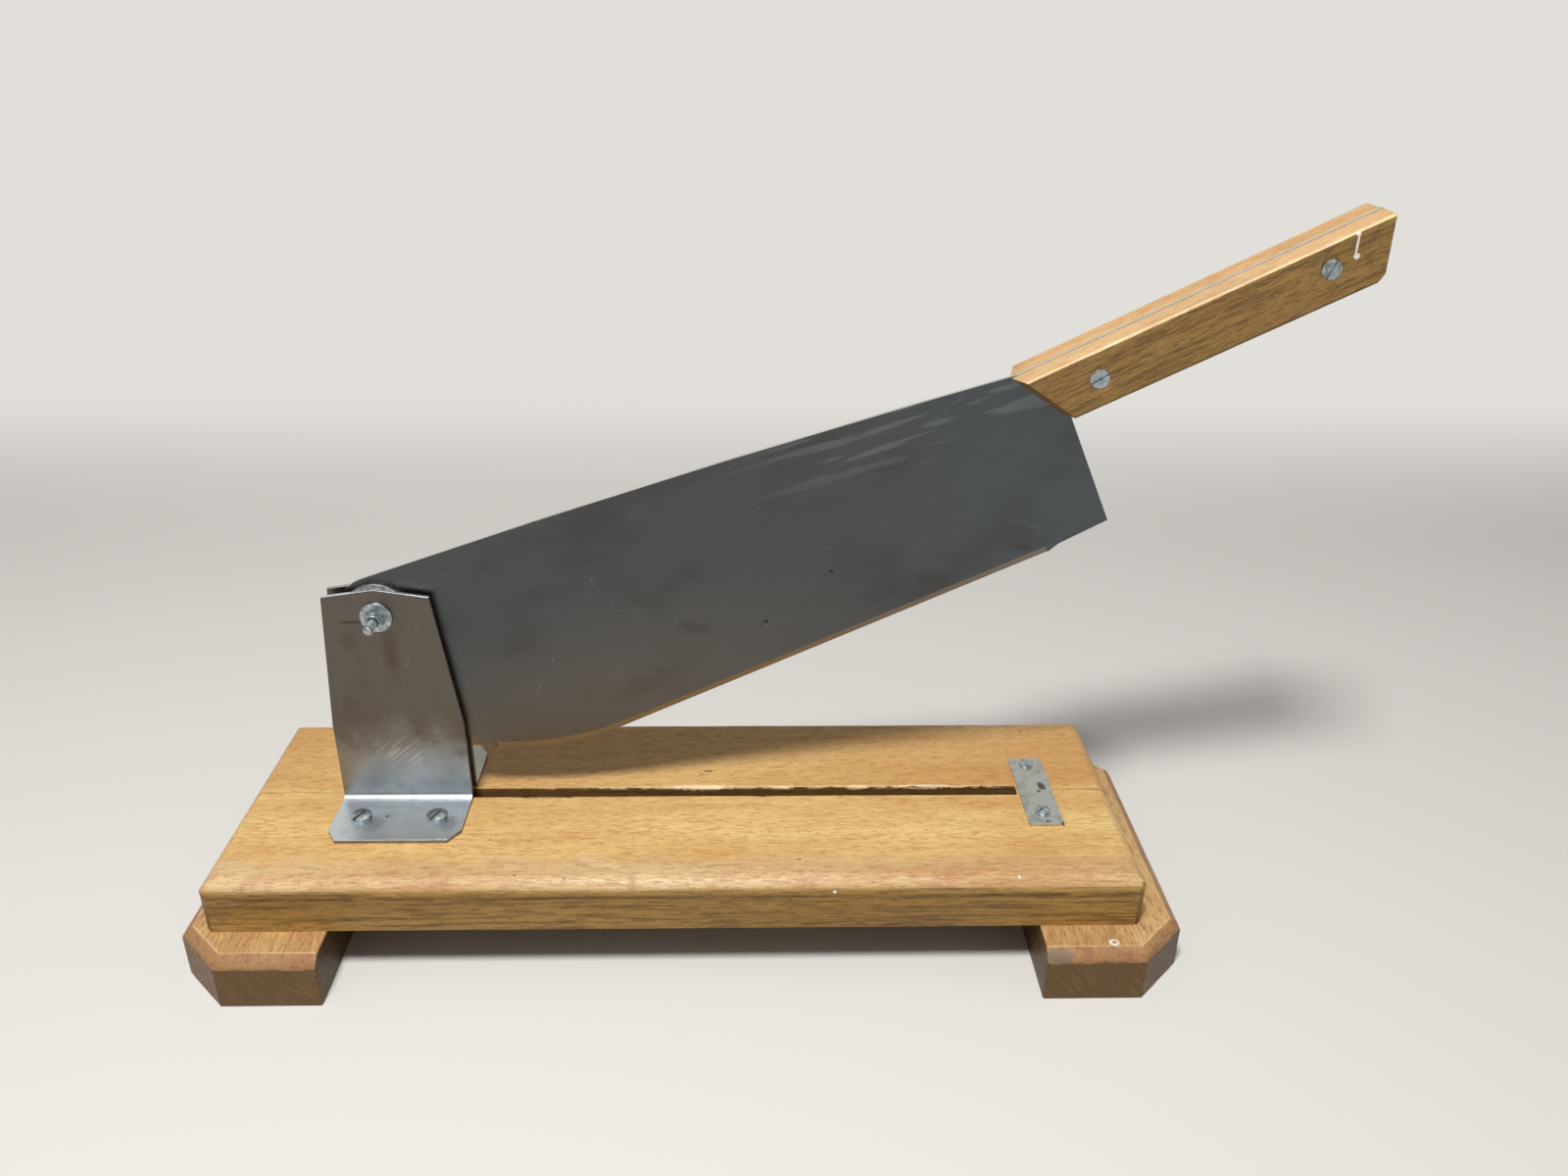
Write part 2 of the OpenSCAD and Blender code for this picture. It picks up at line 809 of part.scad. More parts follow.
module blade() {
    color("dimgray")
        in_blade_frame()
            difference() {
                translate([0, 0, -blade_t / 2])
                    difference() {
                        blade_plate();
                        belly_cut();
                        spine_cut();
                    }
                bevel_cut();
                mirror([0, 0, 1])
                    bevel_cut();
                translate([0, 0, -blade_t])
                    cylinder(h = 2 * blade_t, d = bolt_d + 2 * pivot_fit);
                translate([spine_l, end_r, 0])
                    rotate([0, 0, handle_tilt])
                        for (i = [0, 1])
                            translate([handle_screw_p[i], handle_screw_q[i], -blade_t])
                                cylinder(h = 2 * blade_t, d = sleeve_d + 2 * wood_fit);
            }
}

module front_scale() {
    color("sandybrown")
        in_handle_frame()
            translate([0, 0, blade_t / 2])
                handle_scale();
}

module rear_scale() {
    color("sandybrown")
        in_handle_frame()
            mirror([0, 0, 1])
                translate([0, 0, blade_t / 2])
                    handle_scale();
}

module handle_screws() {
    color("silver")
        in_handle_frame()
            for (i = [0, 1])
                translate([handle_screw_p[i], handle_screw_q[i], blade_t / 2 + scale_t])
                    handle_screw_solid(i == 0 ? 5 : 40);
}

module handle_sleeves() {
    color("silver")
        in_handle_frame()
            for (i = [0, 1])
                translate([handle_screw_p[i], handle_screw_q[i], -blade_t / 2 - scale_t])
                    mirror([0, 0, 1])
                        handle_sleeve_solid();
}

module strap_plate() {
    color("silver")
        difference() {
            translate([slot_x1 + strap_gap, joint_y - strap_forward - strap_l / 2, board_z])
                cube([strap_w, strap_l, strap_t]);
            for (s = [-1, 1])
                translate([strap_x, joint_y + s * strap_screw_y, board_z - 1])
                    cylinder(h = strap_t + 2, d = strap_shank_d + 2 * metal_fit);
        }
}

module strap_screws() {
    color("gainsboro")
        for (s = [-1, 1])
            translate([strap_x, joint_y + s * strap_screw_y, board_z + strap_t])
                raised_screw(strap_shank_d, strap_head_d, strap_head_h, strap_screw_l, s < 0 ? 35 : 75);
}

front_plank();
rear_plank();
left_foot();
right_foot();
left_foot_screws();
right_foot_screws();
front_bracket();
rear_bracket();
front_bracket_screws();
rear_bracket_screws();
pivot_bolt();
pivot_nut();
front_washer();
rear_washer();
front_spacer();
rear_spacer();
blade();
front_scale();
rear_scale();
handle_screws();
handle_sleeves();
strap_plate();
strap_screws();
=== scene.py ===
import json
import math

import bmesh
import bpy
from mathutils import Matrix, Vector, noise


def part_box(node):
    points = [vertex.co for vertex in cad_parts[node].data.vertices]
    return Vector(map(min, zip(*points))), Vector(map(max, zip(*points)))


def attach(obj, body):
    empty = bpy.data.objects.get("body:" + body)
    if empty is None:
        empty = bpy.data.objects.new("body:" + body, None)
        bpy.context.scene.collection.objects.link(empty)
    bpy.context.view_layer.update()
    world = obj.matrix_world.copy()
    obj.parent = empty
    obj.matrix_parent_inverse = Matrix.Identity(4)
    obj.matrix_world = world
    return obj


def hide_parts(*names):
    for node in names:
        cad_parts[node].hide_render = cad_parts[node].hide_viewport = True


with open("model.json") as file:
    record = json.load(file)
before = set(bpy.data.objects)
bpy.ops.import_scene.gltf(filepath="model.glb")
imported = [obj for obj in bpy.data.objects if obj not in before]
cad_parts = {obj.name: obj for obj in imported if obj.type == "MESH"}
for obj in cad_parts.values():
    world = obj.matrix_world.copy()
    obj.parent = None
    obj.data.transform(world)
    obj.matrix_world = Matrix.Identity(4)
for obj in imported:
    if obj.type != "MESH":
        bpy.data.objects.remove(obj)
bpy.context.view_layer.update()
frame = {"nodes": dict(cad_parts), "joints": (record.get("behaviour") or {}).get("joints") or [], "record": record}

MM = 0.001

# Which slot and which body each CAD node belongs to
slot_of = {part["node"]: part["material_slot"] for part in frame["record"]["subparts"]}
body_of = {
    node: body
    for body, nodes in frame["record"]["behaviour"]["bodies"].items()
    for node in nodes
}

# Places read from the frame
front_lo, front_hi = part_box("front_plank")
rear_lo, rear_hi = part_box("rear_plank")
left_foot_lo, left_foot_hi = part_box("left_foot")
right_foot_lo, right_foot_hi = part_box("right_foot")
slot_x0 = left_foot_hi.x
slot_x1 = right_foot_lo.x
slot_y0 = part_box("front_bracket")[1].y
slot_y1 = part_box("rear_bracket")[0].y
slot_middle = (slot_y0 + slot_y1) / 2
board_top = front_hi.z
pivot = Vector(frame["joints"][0]["pos_m"])

# How the blade and its handle stand at rest
blade_lift = math.radians(18.3)
handle_lift = math.radians(18.3 + 8)

# The sheet that the brackets are bent from
bracket_sheet = 2 * MM
bend_inside = 2.6 * MM

# The camera that the photograph was taken with
camera_place = Vector((231.9, -515.6, 421.7)) * MM
camera_yaw = math.radians(1.754)
camera_pitch = math.radians(25.816)
camera_roll = math.radians(0.747)
camera_lens = 28.04
camera_sensor = 36.0

# Light: a lamp high up in front of the slicer, and a weak even sky
lamp_aim = Vector((0.22, 0.0, 0.08))
lamp_from = Vector((-0.12, -0.41, 0.90))
lamp_distance = 1.7
lamp_side = 0.30
lamp_power = 28.0
sky_level = 0.25
sky_in_metal = 0.75
floor_tone = (226, 223, 218)
floor_bounce = (140, 136, 130)


def tone(red, green, blue):
    """A colour given as it shows on a screen, 0 to 255, in the renderer's own numbers."""
    def linear(value):
        share = value / 255
        return share / 12.92 if share <= 0.04045 else ((share + 0.055) / 1.055) ** 2.4
    return linear(red), linear(green), linear(blue), 1.0


class Wiring:
    """Lays and joins the nodes of one material or one node group."""

    def __init__(self, tree):
        self.tree = tree

    def put(self, kind, values=None, **settings):
        node = self.tree.nodes.new(kind)
        for name, value in settings.items():
            setattr(node, name, value)
        for key, value in (values or {}).items():
            self.feed(node.inputs[key], value)
        return node

    def feed(self, socket, value):
        if isinstance(value, bpy.types.NodeSocket):
            self.tree.links.new(value, socket)
        else:
            socket.default_value = value

    def calc(self, operation, first, second=0.0):
        return self.put("ShaderNodeMath", {0: first, 1: second}, operation=operation).outputs[0]

    def times(self, first, second):
        return self.calc("MULTIPLY", first, second)

    def stretch(self, vector, factors):
        node = self.put("ShaderNodeVectorMath", {0: vector, 1: factors}, operation="MULTIPLY")
        return node.outputs[0]

    def shift(self, vector, offset):
        node = self.put("ShaderNodeVectorMath", {0: vector, 1: offset}, operation="ADD")
        return node.outputs[0]

    def turn(self, vector, centre, angles):
        """A vector measured from a centre and turned about it."""
        moved = self.shift(vector, tuple(-c for c in centre))
        node = self.put("ShaderNodeMapping", {"Vector": moved, "Rotation": angles})
        return node.outputs[0]

    def cloud(self, vector, scale, detail=2.0, rough=0.5, bend=0.0):
        node = self.put("ShaderNodeTexNoise", {
            "Vector": vector, "Scale": scale, "Detail": detail,
            "Roughness": rough, "Distortion": bend})
        return node.outputs["Fac"]

    def ease(self, value, low, high):
        """0 up to low, 1 from high on, smooth between; low may be the higher one."""
        node = self.put("ShaderNodeMapRange", {
            "Value": value, "From Min": low, "From Max": high}, interpolation_type="SMOOTHSTEP")
        return node.outputs["Result"]

    def between(self, value, low, high, soft):
        """1 between low and high, 0 outside, with soft ends."""
        return self.times(self.ease(value, low - soft, low + soft),
                          self.ease(value, high + soft, high - soft))

    def mix(self, share, first, second, blend_type="MIX"):
        node = self.put("ShaderNodeMix", {0: share, 6: first, 7: second}, data_type="RGBA",
                        blend_type=blend_type)
        return node.outputs[2]

    def split(self, vector):
        return self.put("ShaderNodeSeparateXYZ", {0: vector}).outputs


VECTOR, FLOAT, COLOR = "NodeSocketVector", "NodeSocketFloat", "NodeSocketColor"


def new_group(name, inputs, outputs):
    """An empty node group; each input is (name, kind, default), each output (name, kind)."""
    tree = bpy.data.node_groups.new(name, "ShaderNodeTree")
    for label, kind, default in inputs:
        socket = tree.interface.new_socket(label, in_out="INPUT", socket_type=kind)
        if default is not None:
            socket.default_value = default
    for label, kind in outputs:
        tree.interface.new_socket(label, in_out="OUTPUT", socket_type=kind)
    w = Wiring(tree)
    return tree, w, w.put("NodeGroupInput").outputs, w.put("NodeGroupOutput").inputs


def beech_group():
    """Beech with its grain along X: soft bands, short dark pores and faint long lines."""
    tree, w, start, end = new_group("beech_grain", [
        ("Vector", VECTOR, None), ("Pale", COLOR, tone(228, 190, 122)),
        ("Deep", COLOR, tone(200, 152, 92)), ("Pore", COLOR, tone(150, 100, 52)),
        ("Pore Amount", FLOAT, 0.5), ("Line Amount", FLOAT, 0.5),
    ], [("Color", COLOR), ("Roughness", FLOAT), ("Height", FLOAT)])
    wander = w.cloud(w.stretch(start["Vector"], (14.0, 40.0, 40.0)), 1.0, 2.0)
    sway = w.put("ShaderNodeCombineXYZ", {1: wander, 2: wander}).outputs[0]
    wavy = w.shift(start["Vector"], w.stretch(sway, (0.0, 0.006, 0.006)))
    broad = w.cloud(w.stretch(wavy, (0.16, 1.0, 1.0)), 42.0, 3.0, 0.6)
    line = w.cloud(w.stretch(wavy, (0.035, 1.0, 1.0)), 520.0, 3.0, 0.6)
    pore = w.cloud(w.stretch(wavy, (0.15, 1.0, 1.0)), 980.0, 3.0, 0.6, 0.6)
    dash = w.cloud(w.stretch(wavy, (0.10, 1.0, 1.0)), 2100.0, 1.0, 0.5)
    base = w.mix(w.ease(broad, 0.30, 0.70), start["Pale"], start["Deep"])
    lined = w.mix(w.times(w.ease(line, 0.47, 0.63), start["Line Amount"]), base, start["Pore"])
    pore_mask = w.ease(pore, 0.52, 0.62)
    pored = w.mix(w.times(pore_mask, start["Pore Amount"]), lined, start["Pore"])
    dash_mask = w.ease(dash, 0.54, 0.64)
    dashed = w.mix(w.times(dash_mask, w.times(start["Pore Amount"], 0.55)), pored, start["Pore"])
    light = w.times(w.ease(pore, 0.46, 0.34), 0.45)
    w.feed(end["Color"], w.mix(light, dashed, start["Pale"]))
    w.feed(end["Roughness"], w.calc("ADD", 0.44, w.times(pore_mask, 0.18)))
    sunk = w.calc("ADD", w.times(pore_mask, -0.5), w.times(dash_mask, -0.5))
    w.feed(end["Height"], w.calc("ADD", sunk, w.times(line, -0.4)))
    return tree


def brushed_group():
    """Brushed metal: fine lines along X, broken up by soft patches."""
    tree, w, start, end = new_group("brushed_lines", [
        ("Vector", VECTOR, None), ("Contrast", FLOAT, 0.3), ("Base Roughness", FLOAT, 0.35),
    ], [("Shade", FLOAT), ("Roughness", FLOAT), ("Height", FLOAT)])
    lines = w.cloud(w.stretch(start["Vector"], (0.015, 1.0, 1.0)), 2400.0, 3.0, 0.7)
    short = w.cloud(w.stretch(start["Vector"], (0.06, 1.0, 1.0)), 1500.0, 1.0, 0.5)
    patch = w.cloud(start["Vector"], 34.0, 3.0, 0.55)
    both = w.calc("ADD", w.times(lines, 0.6), w.times(short, 0.4))
    centred = w.calc("SUBTRACT", both, 0.5)
    patchy = w.times(centred, w.ease(patch, 0.2, 0.7))
    w.feed(end["Shade"], w.calc("ADD", 0.5, w.times(patchy, start["Contrast"])))
    w.feed(end["Roughness"], w.calc("ADD", start["Base Roughness"], w.times(centred, 0.25)))
    w.feed(end["Height"], both)
    return tree


def scratch_group():
    """Thin loose scratches, nearly straight along X, only in some patches."""
    tree, w, start, end = new_group("loose_scratches", [
        ("Vector", VECTOR, None), ("Scale", FLOAT, 60.0), ("Width", FLOAT, 0.012),
    ], [("Mask", FLOAT)])
    warped = w.cloud(start["Vector"], 14.0, 1.0)
    sway = w.put("ShaderNodeCombineXYZ", {0: warped, 2: warped}).outputs[0]
    moved = w.shift(start["Vector"], w.stretch(sway, (0.02, 0.0, 0.02)))
    cells = w.put("ShaderNodeTexVoronoi", {
        "Vector": w.stretch(moved, (0.16, 1.0, 1.0)), "Scale": start["Scale"]},
        feature="DISTANCE_TO_EDGE")
    thin = w.ease(cells.outputs["Distance"], start["Width"], 0.0)
    patch = w.ease(w.cloud(start["Vector"], 90.0, 2.0), 0.53, 0.60)
    w.feed(end["Mask"], w.times(thin, patch))
    return tree


def spot_group():
    """One spot of a given place and half size, its outline made ragged."""
    tree, w, start, end = new_group("ragged_spot", [
        ("Vector", VECTOR, None), ("Centre", VECTOR, None), ("Size", VECTOR, (0.01, 0.01, 0.01)),
        ("Ragged", FLOAT, 0.4), ("Grain", FLOAT, 500.0), ("Soft", FLOAT, 0.4),
    ], [("Mask", FLOAT)])
    offset = w.put("ShaderNodeVectorMath", {0: start["Vector"], 1: start["Centre"]},
                   operation="SUBTRACT").outputs[0]
    shares = w.put("ShaderNodeVectorMath", {0: offset, 1: start["Size"]}, operation="DIVIDE").outputs[0]
    reach = w.put("ShaderNodeVectorMath", {0: shares}, operation="LENGTH").outputs["Value"]
    rough = w.calc("SUBTRACT", w.cloud(start["Vector"], start["Grain"], 3.0, 0.6), 0.5)
    uneven = w.calc("ADD", reach, w.times(rough, start["Ragged"]))
    w.feed(end["Mask"], w.ease(uneven, 1.0, w.calc("SUBTRACT", 1.0, start["Soft"])))
    return tree


beech_grain = beech_group()
brushed_lines = brushed_group()
loose_scratches = scratch_group()
ragged_spot = spot_group()


class Finish(Wiring):
    """One material with a Principled shader, and what its surface is asked about."""

    def __init__(self, name, roughness=0.45, metallic=0.0):
        self.material = bpy.data.materials.new(name)
        self.material.use_nodes = True
        super().__init__(self.material.node_tree)
        self.tree.nodes.clear()
        self.shader = self.put("ShaderNodeBsdfPrincipled")
        self.shader.inputs["Roughness"].default_value = roughness
        self.shader.inputs["Metallic"].default_value = metallic
        self.put("ShaderNodeOutputMaterial", {"Surface": self.shader.outputs[0]})
        self.place = self.put("ShaderNodeTexCoord").outputs["Object"]
        self.x, self.y, self.z = self.split(self.place)
        world_normal = self.put("ShaderNodeNewGeometry").outputs["Normal"]
        turned = self.put("ShaderNodeVectorTransform", {"Vector": world_normal},
                          vector_type="NORMAL", convert_from="WORLD", convert_to="OBJECT")
        self.normal = turned.outputs[0]
        self.facing = self.split(self.normal)

    def use(self, group, **values):
        node = self.put("ShaderNodeGroup", node_tree=group)
        for key, value in values.items():
            self.feed(node.inputs[key.replace("_", " ")], value)
        return node.outputs

    def spot(self, centre, size, ragged=0.4, grain=500.0, soft=0.4, vector=None):
        """Mask of a spot; its centre and half sizes are in millimetres."""
        return self.use(ragged_spot, Vector=vector or self.place,
                        Centre=tuple(c * MM for c in centre), Size=tuple(s * MM for s in size),
                        Ragged=ragged, Grain=grain, Soft=soft)["Mask"]

    def paint_spots(self, colour, rows, paint, share=1.0, **looks):
        """Lays spots of one paint over a colour; rows are (centre, size) in millimetres."""
        for centre, size in rows:
            colour = self.mix(self.times(self.spot(centre, size, **looks), share), colour, paint)
        return colour

    def close(self, colour, roughness=None, height=None, strength=0.3, distance=0.0003):
        self.feed(self.shader.inputs["Base Color"], colour)
        if roughness is not None:
            self.feed(self.shader.inputs["Roughness"], roughness)
        if height is not None:
            node = self.put("ShaderNodeBump", {
                "Height": height, "Strength": strength, "Distance": distance})
            self.feed(self.shader.inputs["Normal"], node.outputs[0])
        return self.material


# Marks on the board's top: a few black dots, one dark nick, white paint, bare wood at the slot
board_dots = (
    ((25.4, -56.7, 52), (0.8, 0.8, 3)),
    ((106.3, -34.8, 54), (0.7, 0.7, 2)),
    ((122.6, -61.2, 53), (0.9, 0.7, 3)),
    ((145.4, -62.9, 52), (0.7, 0.7, 3)),
    ((209.9, 22.5, 54), (3.2, 1.0, 2)),
    ((206.5, 19.6, 54), (1.2, 0.6, 2)),
    ((255.0, -51.0, 54), (1.6, 0.6, 2)),
    ((382.0, 60.5, 54), (1.0, 0.8, 2)),
)
board_paint = (
    ((271.1, -67.4, 47.9), (1.1, 1.5, 0.9)),
    ((357.6, -63.7, 53.6), (0.9, 1.1, 2)),
)
bare_wood = (
    ((207, 8.9, 53.4), (20, 1.5, 2.2)),
    ((247, 8.5, 53.5), (9, 1.0, 1.6)),
    ((287, 8.5, 53.5), (7, 1.3, 1.8)),
    ((322, 8.6, 53.5), (18, 1.2, 1.8)),
)
slot_grime = (
    ((126, 0.0, 54), (17, 1.5, 2)),
    ((238, 0.1, 54), (7, 0.9, 2)),
)


def plank_finish():
    """The two planks: honey on top, browner on the sawn sides, worn pale along the front."""
    f = Finish("board_wood")
    top = f.use(beech_grain, Vector=f.place, Pale=tone(235, 199, 131), Deep=tone(217, 172, 105),
                Pore=tone(168, 114, 58), Pore_Amount=0.52, Line_Amount=0.22)
    worn = f.use(beech_grain, Vector=f.shift(f.place, (0.0, 0.3, 0.0)),
                 Pale=tone(226, 196, 148), Deep=tone(202, 158, 106),
                 Pore=tone(160, 106, 64), Pore_Amount=0.55, Line_Amount=0.25)
    side = f.use(beech_grain, Vector=f.shift(f.stretch(f.place, (0.8, 1.0, 1.0)), (0.5, 0.0, 0.0)),
                 Pale=tone(186, 146, 78), Deep=tone(160, 120, 60),
                 Pore=tone(84, 56, 22), Pore_Amount=0.45, Line_Amount=0.62)
    middle = f.ease(f.calc("ABSOLUTE", f.calc("SUBTRACT", f.x, 0.20)), 0.23, 0.05)
    patch = f.cloud(f.stretch(f.place, (0.5, 1.0, 1.0)), 26.0, 3.0, 0.6)
    redder = f.times(f.calc("SUBTRACT", 1.0, middle), f.ease(patch, 0.3, 0.7))
    colour = f.mix(f.times(redder, 0.40), top["Color"], tone(190, 128, 62))
    # Rear plank painted darker: partly its own darker wood, partly painted shade.
    rear = f.ease(f.y, slot_y1 - 0.002, slot_y1 + 0.002)
    colour = f.mix(f.times(rear, 0.30), colour, tone(176, 118, 60))
    uneven = f.calc("ADD", f.y, f.times(f.cloud(f.place, 55.0, 3.0), 0.016))
    band = f.ease(uneven, front_lo.y + 0.031, front_lo.y + 0.019)
    colour = f.mix(f.times(band, 0.85), colour, worn["Color"])
    red_patch = f.ease(f.cloud(f.stretch(f.place, (1.0, 0.4, 0.4)), 75.0, 3.0, 0.6), 0.56, 0.68)
    low_band = f.ease(uneven, front_lo.y + 0.023, front_lo.y + 0.010)
    colour = f.mix(f.times(f.times(red_patch, low_band), 0.42), colour, tone(178, 112, 74))
    colour = f.paint_spots(colour, board_dots, tone(62, 42, 24), 0.8, ragged=0.5, grain=900.0)
    colour = f.paint_spots(colour, slot_grime, tone(96, 68, 36), 0.55, ragged=1.4, grain=700.0, soft=0.7)
    up = f.ease(f.facing[2], 0.30, 0.62)
    colour = f.mix(up, side["Color"], colour)
    lip = f.between(f.z, 0.0448, 0.0462, 0.0006)
    lip_wave = f.ease(f.cloud(f.stretch(f.place, (0.3, 1.0, 1.0)), 160.0, 2.0), 0.40, 0.56)
    front_side = f.ease(f.facing[1], -0.5, -0.9)
    colour = f.mix(f.times(f.times(f.times(lip, lip_wave), front_side), 0.6), colour, tone(70, 44, 20))
    # Painted shade: the slot's walls are painted dark where shade falls in the narrow gap.
    inside = f.times(f.ease(f.calc("ABSOLUTE", f.calc("SUBTRACT", f.y, slot_middle)), 0.0044, 0.0036),
                     f.ease(f.facing[2], 0.9, 0.4))
    colour = f.mix(f.times(inside, 0.8), colour, tone(78, 50, 26))
    # Pale torn fibres along the rear lip, partly a painted highlight on the broken edge.
    torn = f.cloud(f.stretch(f.place, (0.35, 1.0, 1.0)), 420.0, 3.0, 0.6)
    torn_lip_and_highlight = f.times(f.between(f.y, slot_y1 - 0.0004, slot_y1 + 0.0009, 0.0004),
                       f.times(f.between(f.x, 0.150, 0.362, 0.012), f.ease(f.z, 0.0524, 0.0532)))
    colour = f.mix(f.times(f.times(torn_lip_and_highlight, f.ease(torn, 0.44, 0.54)), 0.8), colour, tone(236, 204, 154))
    colour = f.paint_spots(colour, bare_wood, tone(240, 212, 166), 0.85, ragged=1.2, grain=520.0, soft=0.3)
    colour = f.paint_spots(colour, board_paint, tone(240, 238, 226), ragged=0.3)
    return f.close(colour, top["Roughness"], top["Height"], 0.45, 0.0003)


foot_paint = ((401.3, -79.4, 27), (2.8, 2.6, 2))
foot_paint_gap = ((401.6, -79.2, 27), (1.5, 1.3, 3))


def foot_finish():
    """The two feet: redder and rougher, darker on the sawn sides, rings on the sawn ends, painted shade on the
    inner and far sides and a painted highlight along the top's ridge.
    """
    f = Finish("foot_wood")
    along = f.put("ShaderNodeMapping", {
        "Vector": f.place, "Rotation": (0.0, 0.0, math.pi / 2)}).outputs[0]
    top = f.use(beech_grain, Vector=along, Pale=tone(212, 174, 118), Deep=tone(188, 144, 92),
                Pore=tone(140, 92, 50), Pore_Amount=0.55, Line_Amount=0.2)
    side = f.use(beech_grain, Vector=f.shift(along, (0.4, 0.0, 0.0)),
                 Pale=tone(140, 106, 54), Deep=tone(112, 80, 38),
                 Pore=tone(64, 42, 18), Pore_Amount=0.4, Line_Amount=0.6)
    blotch = f.ease(f.cloud(f.place, 85.0, 3.0, 0.65), 0.50, 0.66)
    colour = f.mix(f.times(blotch, 0.3), top["Color"], tone(168, 106, 64))
    tilt = f.facing[2]
    slope = f.times(f.ease(tilt, 0.985, 0.90), f.ease(tilt, 0.15, 0.45))
    colour = f.mix(f.times(slope, 0.65), colour, tone(150, 106, 64))
    stain = f.times(slope, f.ease(f.cloud(f.place, 120.0, 3.0, 0.6), 0.50, 0.62))
    colour = f.mix(f.times(stain, 0.5), colour, tone(146, 84, 56))
    # Painted highlight along the ridge where the flat top turns into the roundover.
    ridge_highlight = f.times(f.ease(tilt, 0.999, 0.985), f.ease(tilt, 0.93, 0.975))
    colour = f.mix(f.times(ridge_highlight, 0.45), colour, tone(236, 206, 158))
    wavy = f.calc("ADD", tilt, f.times(f.calc("SUBTRACT", f.cloud(f.place, 130.0, 2.0), 0.5), 0.5))
    down = f.ease(wavy, 0.34, 0.16)
    # Sawn ends show rings about a heart that lay below the foot
    heart = f.put("ShaderNodeVectorMath", {
        0: f.stretch(f.place, (1.0, 0.0, 1.0)), 1: (0.21, 0.0, -0.05)}, operation="DISTANCE")
    ring = f.put("ShaderNodeCombineXYZ", {0: heart.outputs["Value"]}).outputs[0]
    rings = f.ease(f.cloud(ring, 900.0, 2.0, 0.6), 0.40, 0.62)
    end = f.ease(f.calc("ABSOLUTE", f.facing[1]), 0.75, 0.9)
    end_colour = f.mix(f.times(rings, 0.35), tone(112, 82, 38), tone(80, 54, 22))
    sawn = f.mix(end, side["Color"], end_colour)
    # Painted shade on the feet's inner sides, under the board between the feet.
    inner_shade = f.times(f.ease(f.calc("ABSOLUTE", f.facing[0]), 0.8, 0.95),
                    f.between(f.x, slot_x0 - 0.004, slot_x1 + 0.004, 0.003))
    sawn = f.mix(f.times(inner_shade, 0.7), sawn, tone(66, 46, 14))
    # Painted shade on the right foot's far side, turned away from the lamp.
    far_side_shade = f.times(f.ease(f.facing[0], 0.4, 0.6), f.ease(f.x, slot_x1 + 0.03, slot_x1 + 0.06))
    sawn = f.mix(f.times(far_side_shade, 0.55), sawn, tone(60, 44, 16))
    saw_lines = f.cloud(f.stretch(f.put("ShaderNodeMapping", {
        "Vector": f.place, "Rotation": (0.0, math.radians(40), 0.0)}).outputs[0],
        (1.0, 0.1, 0.06)), 800.0, 1.0)
    sawn = f.mix(f.times(f.ease(saw_lines, 0.55, 0.66), 0.18), sawn, tone(176, 142, 92))
    colour = f.mix(down, colour, sawn)
    edge = f.times(f.ease(wavy, 0.40, 0.27), f.ease(wavy, 0.16, 0.24))
    colour = f.mix(f.times(edge, 0.5), colour, tone(80, 54, 28))
    rough_patch = f.spot((375, -85, 24), (9, 6, 4), ragged=0.9, grain=260.0, soft=0.5)
    colour = f.mix(f.times(rough_patch, 0.7), colour, tone(112, 104, 92))
    ring_mask = f.times(f.spot(*foot_paint, ragged=0.5), f.calc(
        "SUBTRACT", 1.0, f.spot(*foot_paint_gap, ragged=0.3)))
    colour = f.mix(ring_mask, colour, tone(242, 238, 226))
    return f.close(colour, top["Roughness"], top["Height"], 0.5, 0.0003)


handle_paint = (
    ((481.3, -10.1, 328.6), (1.5, 2.5, 1.4)),
    ((480.6, -10.1, 333.2), (0.55, 2.5, 5.2)),
    ((480.3, -10.1, 337.4), (1.1, 2.5, 0.9)),
)


def handle_finish():
    """The handle: oiled beech, dark pores on the flat sides, worn pale along the top."""
    f = Finish("handle_wood")
    along = f.turn(f.place, pivot, (0.0, handle_lift, 0.0))
    _, _, rise = f.split(f.turn(f.normal, (0.0, 0.0, 0.0), (0.0, handle_lift, 0.0)))
    top = f.use(beech_grain, Vector=along, Pale=tone(226, 190, 137), Deep=tone(206, 162, 106),
                Pore=tone(168, 112, 62), Pore_Amount=0.35, Line_Amount=0.25)
    side = f.use(beech_grain, Vector=f.shift(along, (0.7, 0.0, 0.0)),
                 Pale=tone(164, 128, 70), Deep=tone(138, 104, 52),
                 Pore=tone(80, 55, 24), Pore_Amount=0.55, Line_Amount=0.55)
    colour = f.mix(f.ease(rise, 0.35, 0.8), side["Color"], top["Color"])
    edge = f.times(f.ease(rise, 0.98, 0.85), f.ease(rise, 0.35, 0.6))
    colour = f.mix(f.times(edge, 0.5), colour, tone(240, 208, 160))
    palm = f.ease(f.cloud(f.place, 30.0, 2.0), 0.45, 0.65)
    colour = f.mix(f.times(palm, 0.18), colour, tone(120, 80, 40))
    front_end = f.ease(f.facing[0], -0.45, -0.75)
    colour = f.mix(f.times(front_end, 0.5), colour, tone(206, 170, 118))
    colour = f.paint_spots(colour, handle_paint, tone(244, 244, 236), ragged=0.35, soft=0.25)
    return f.close(colour, top["Roughness"], side["Height"], 0.45, 0.0003)


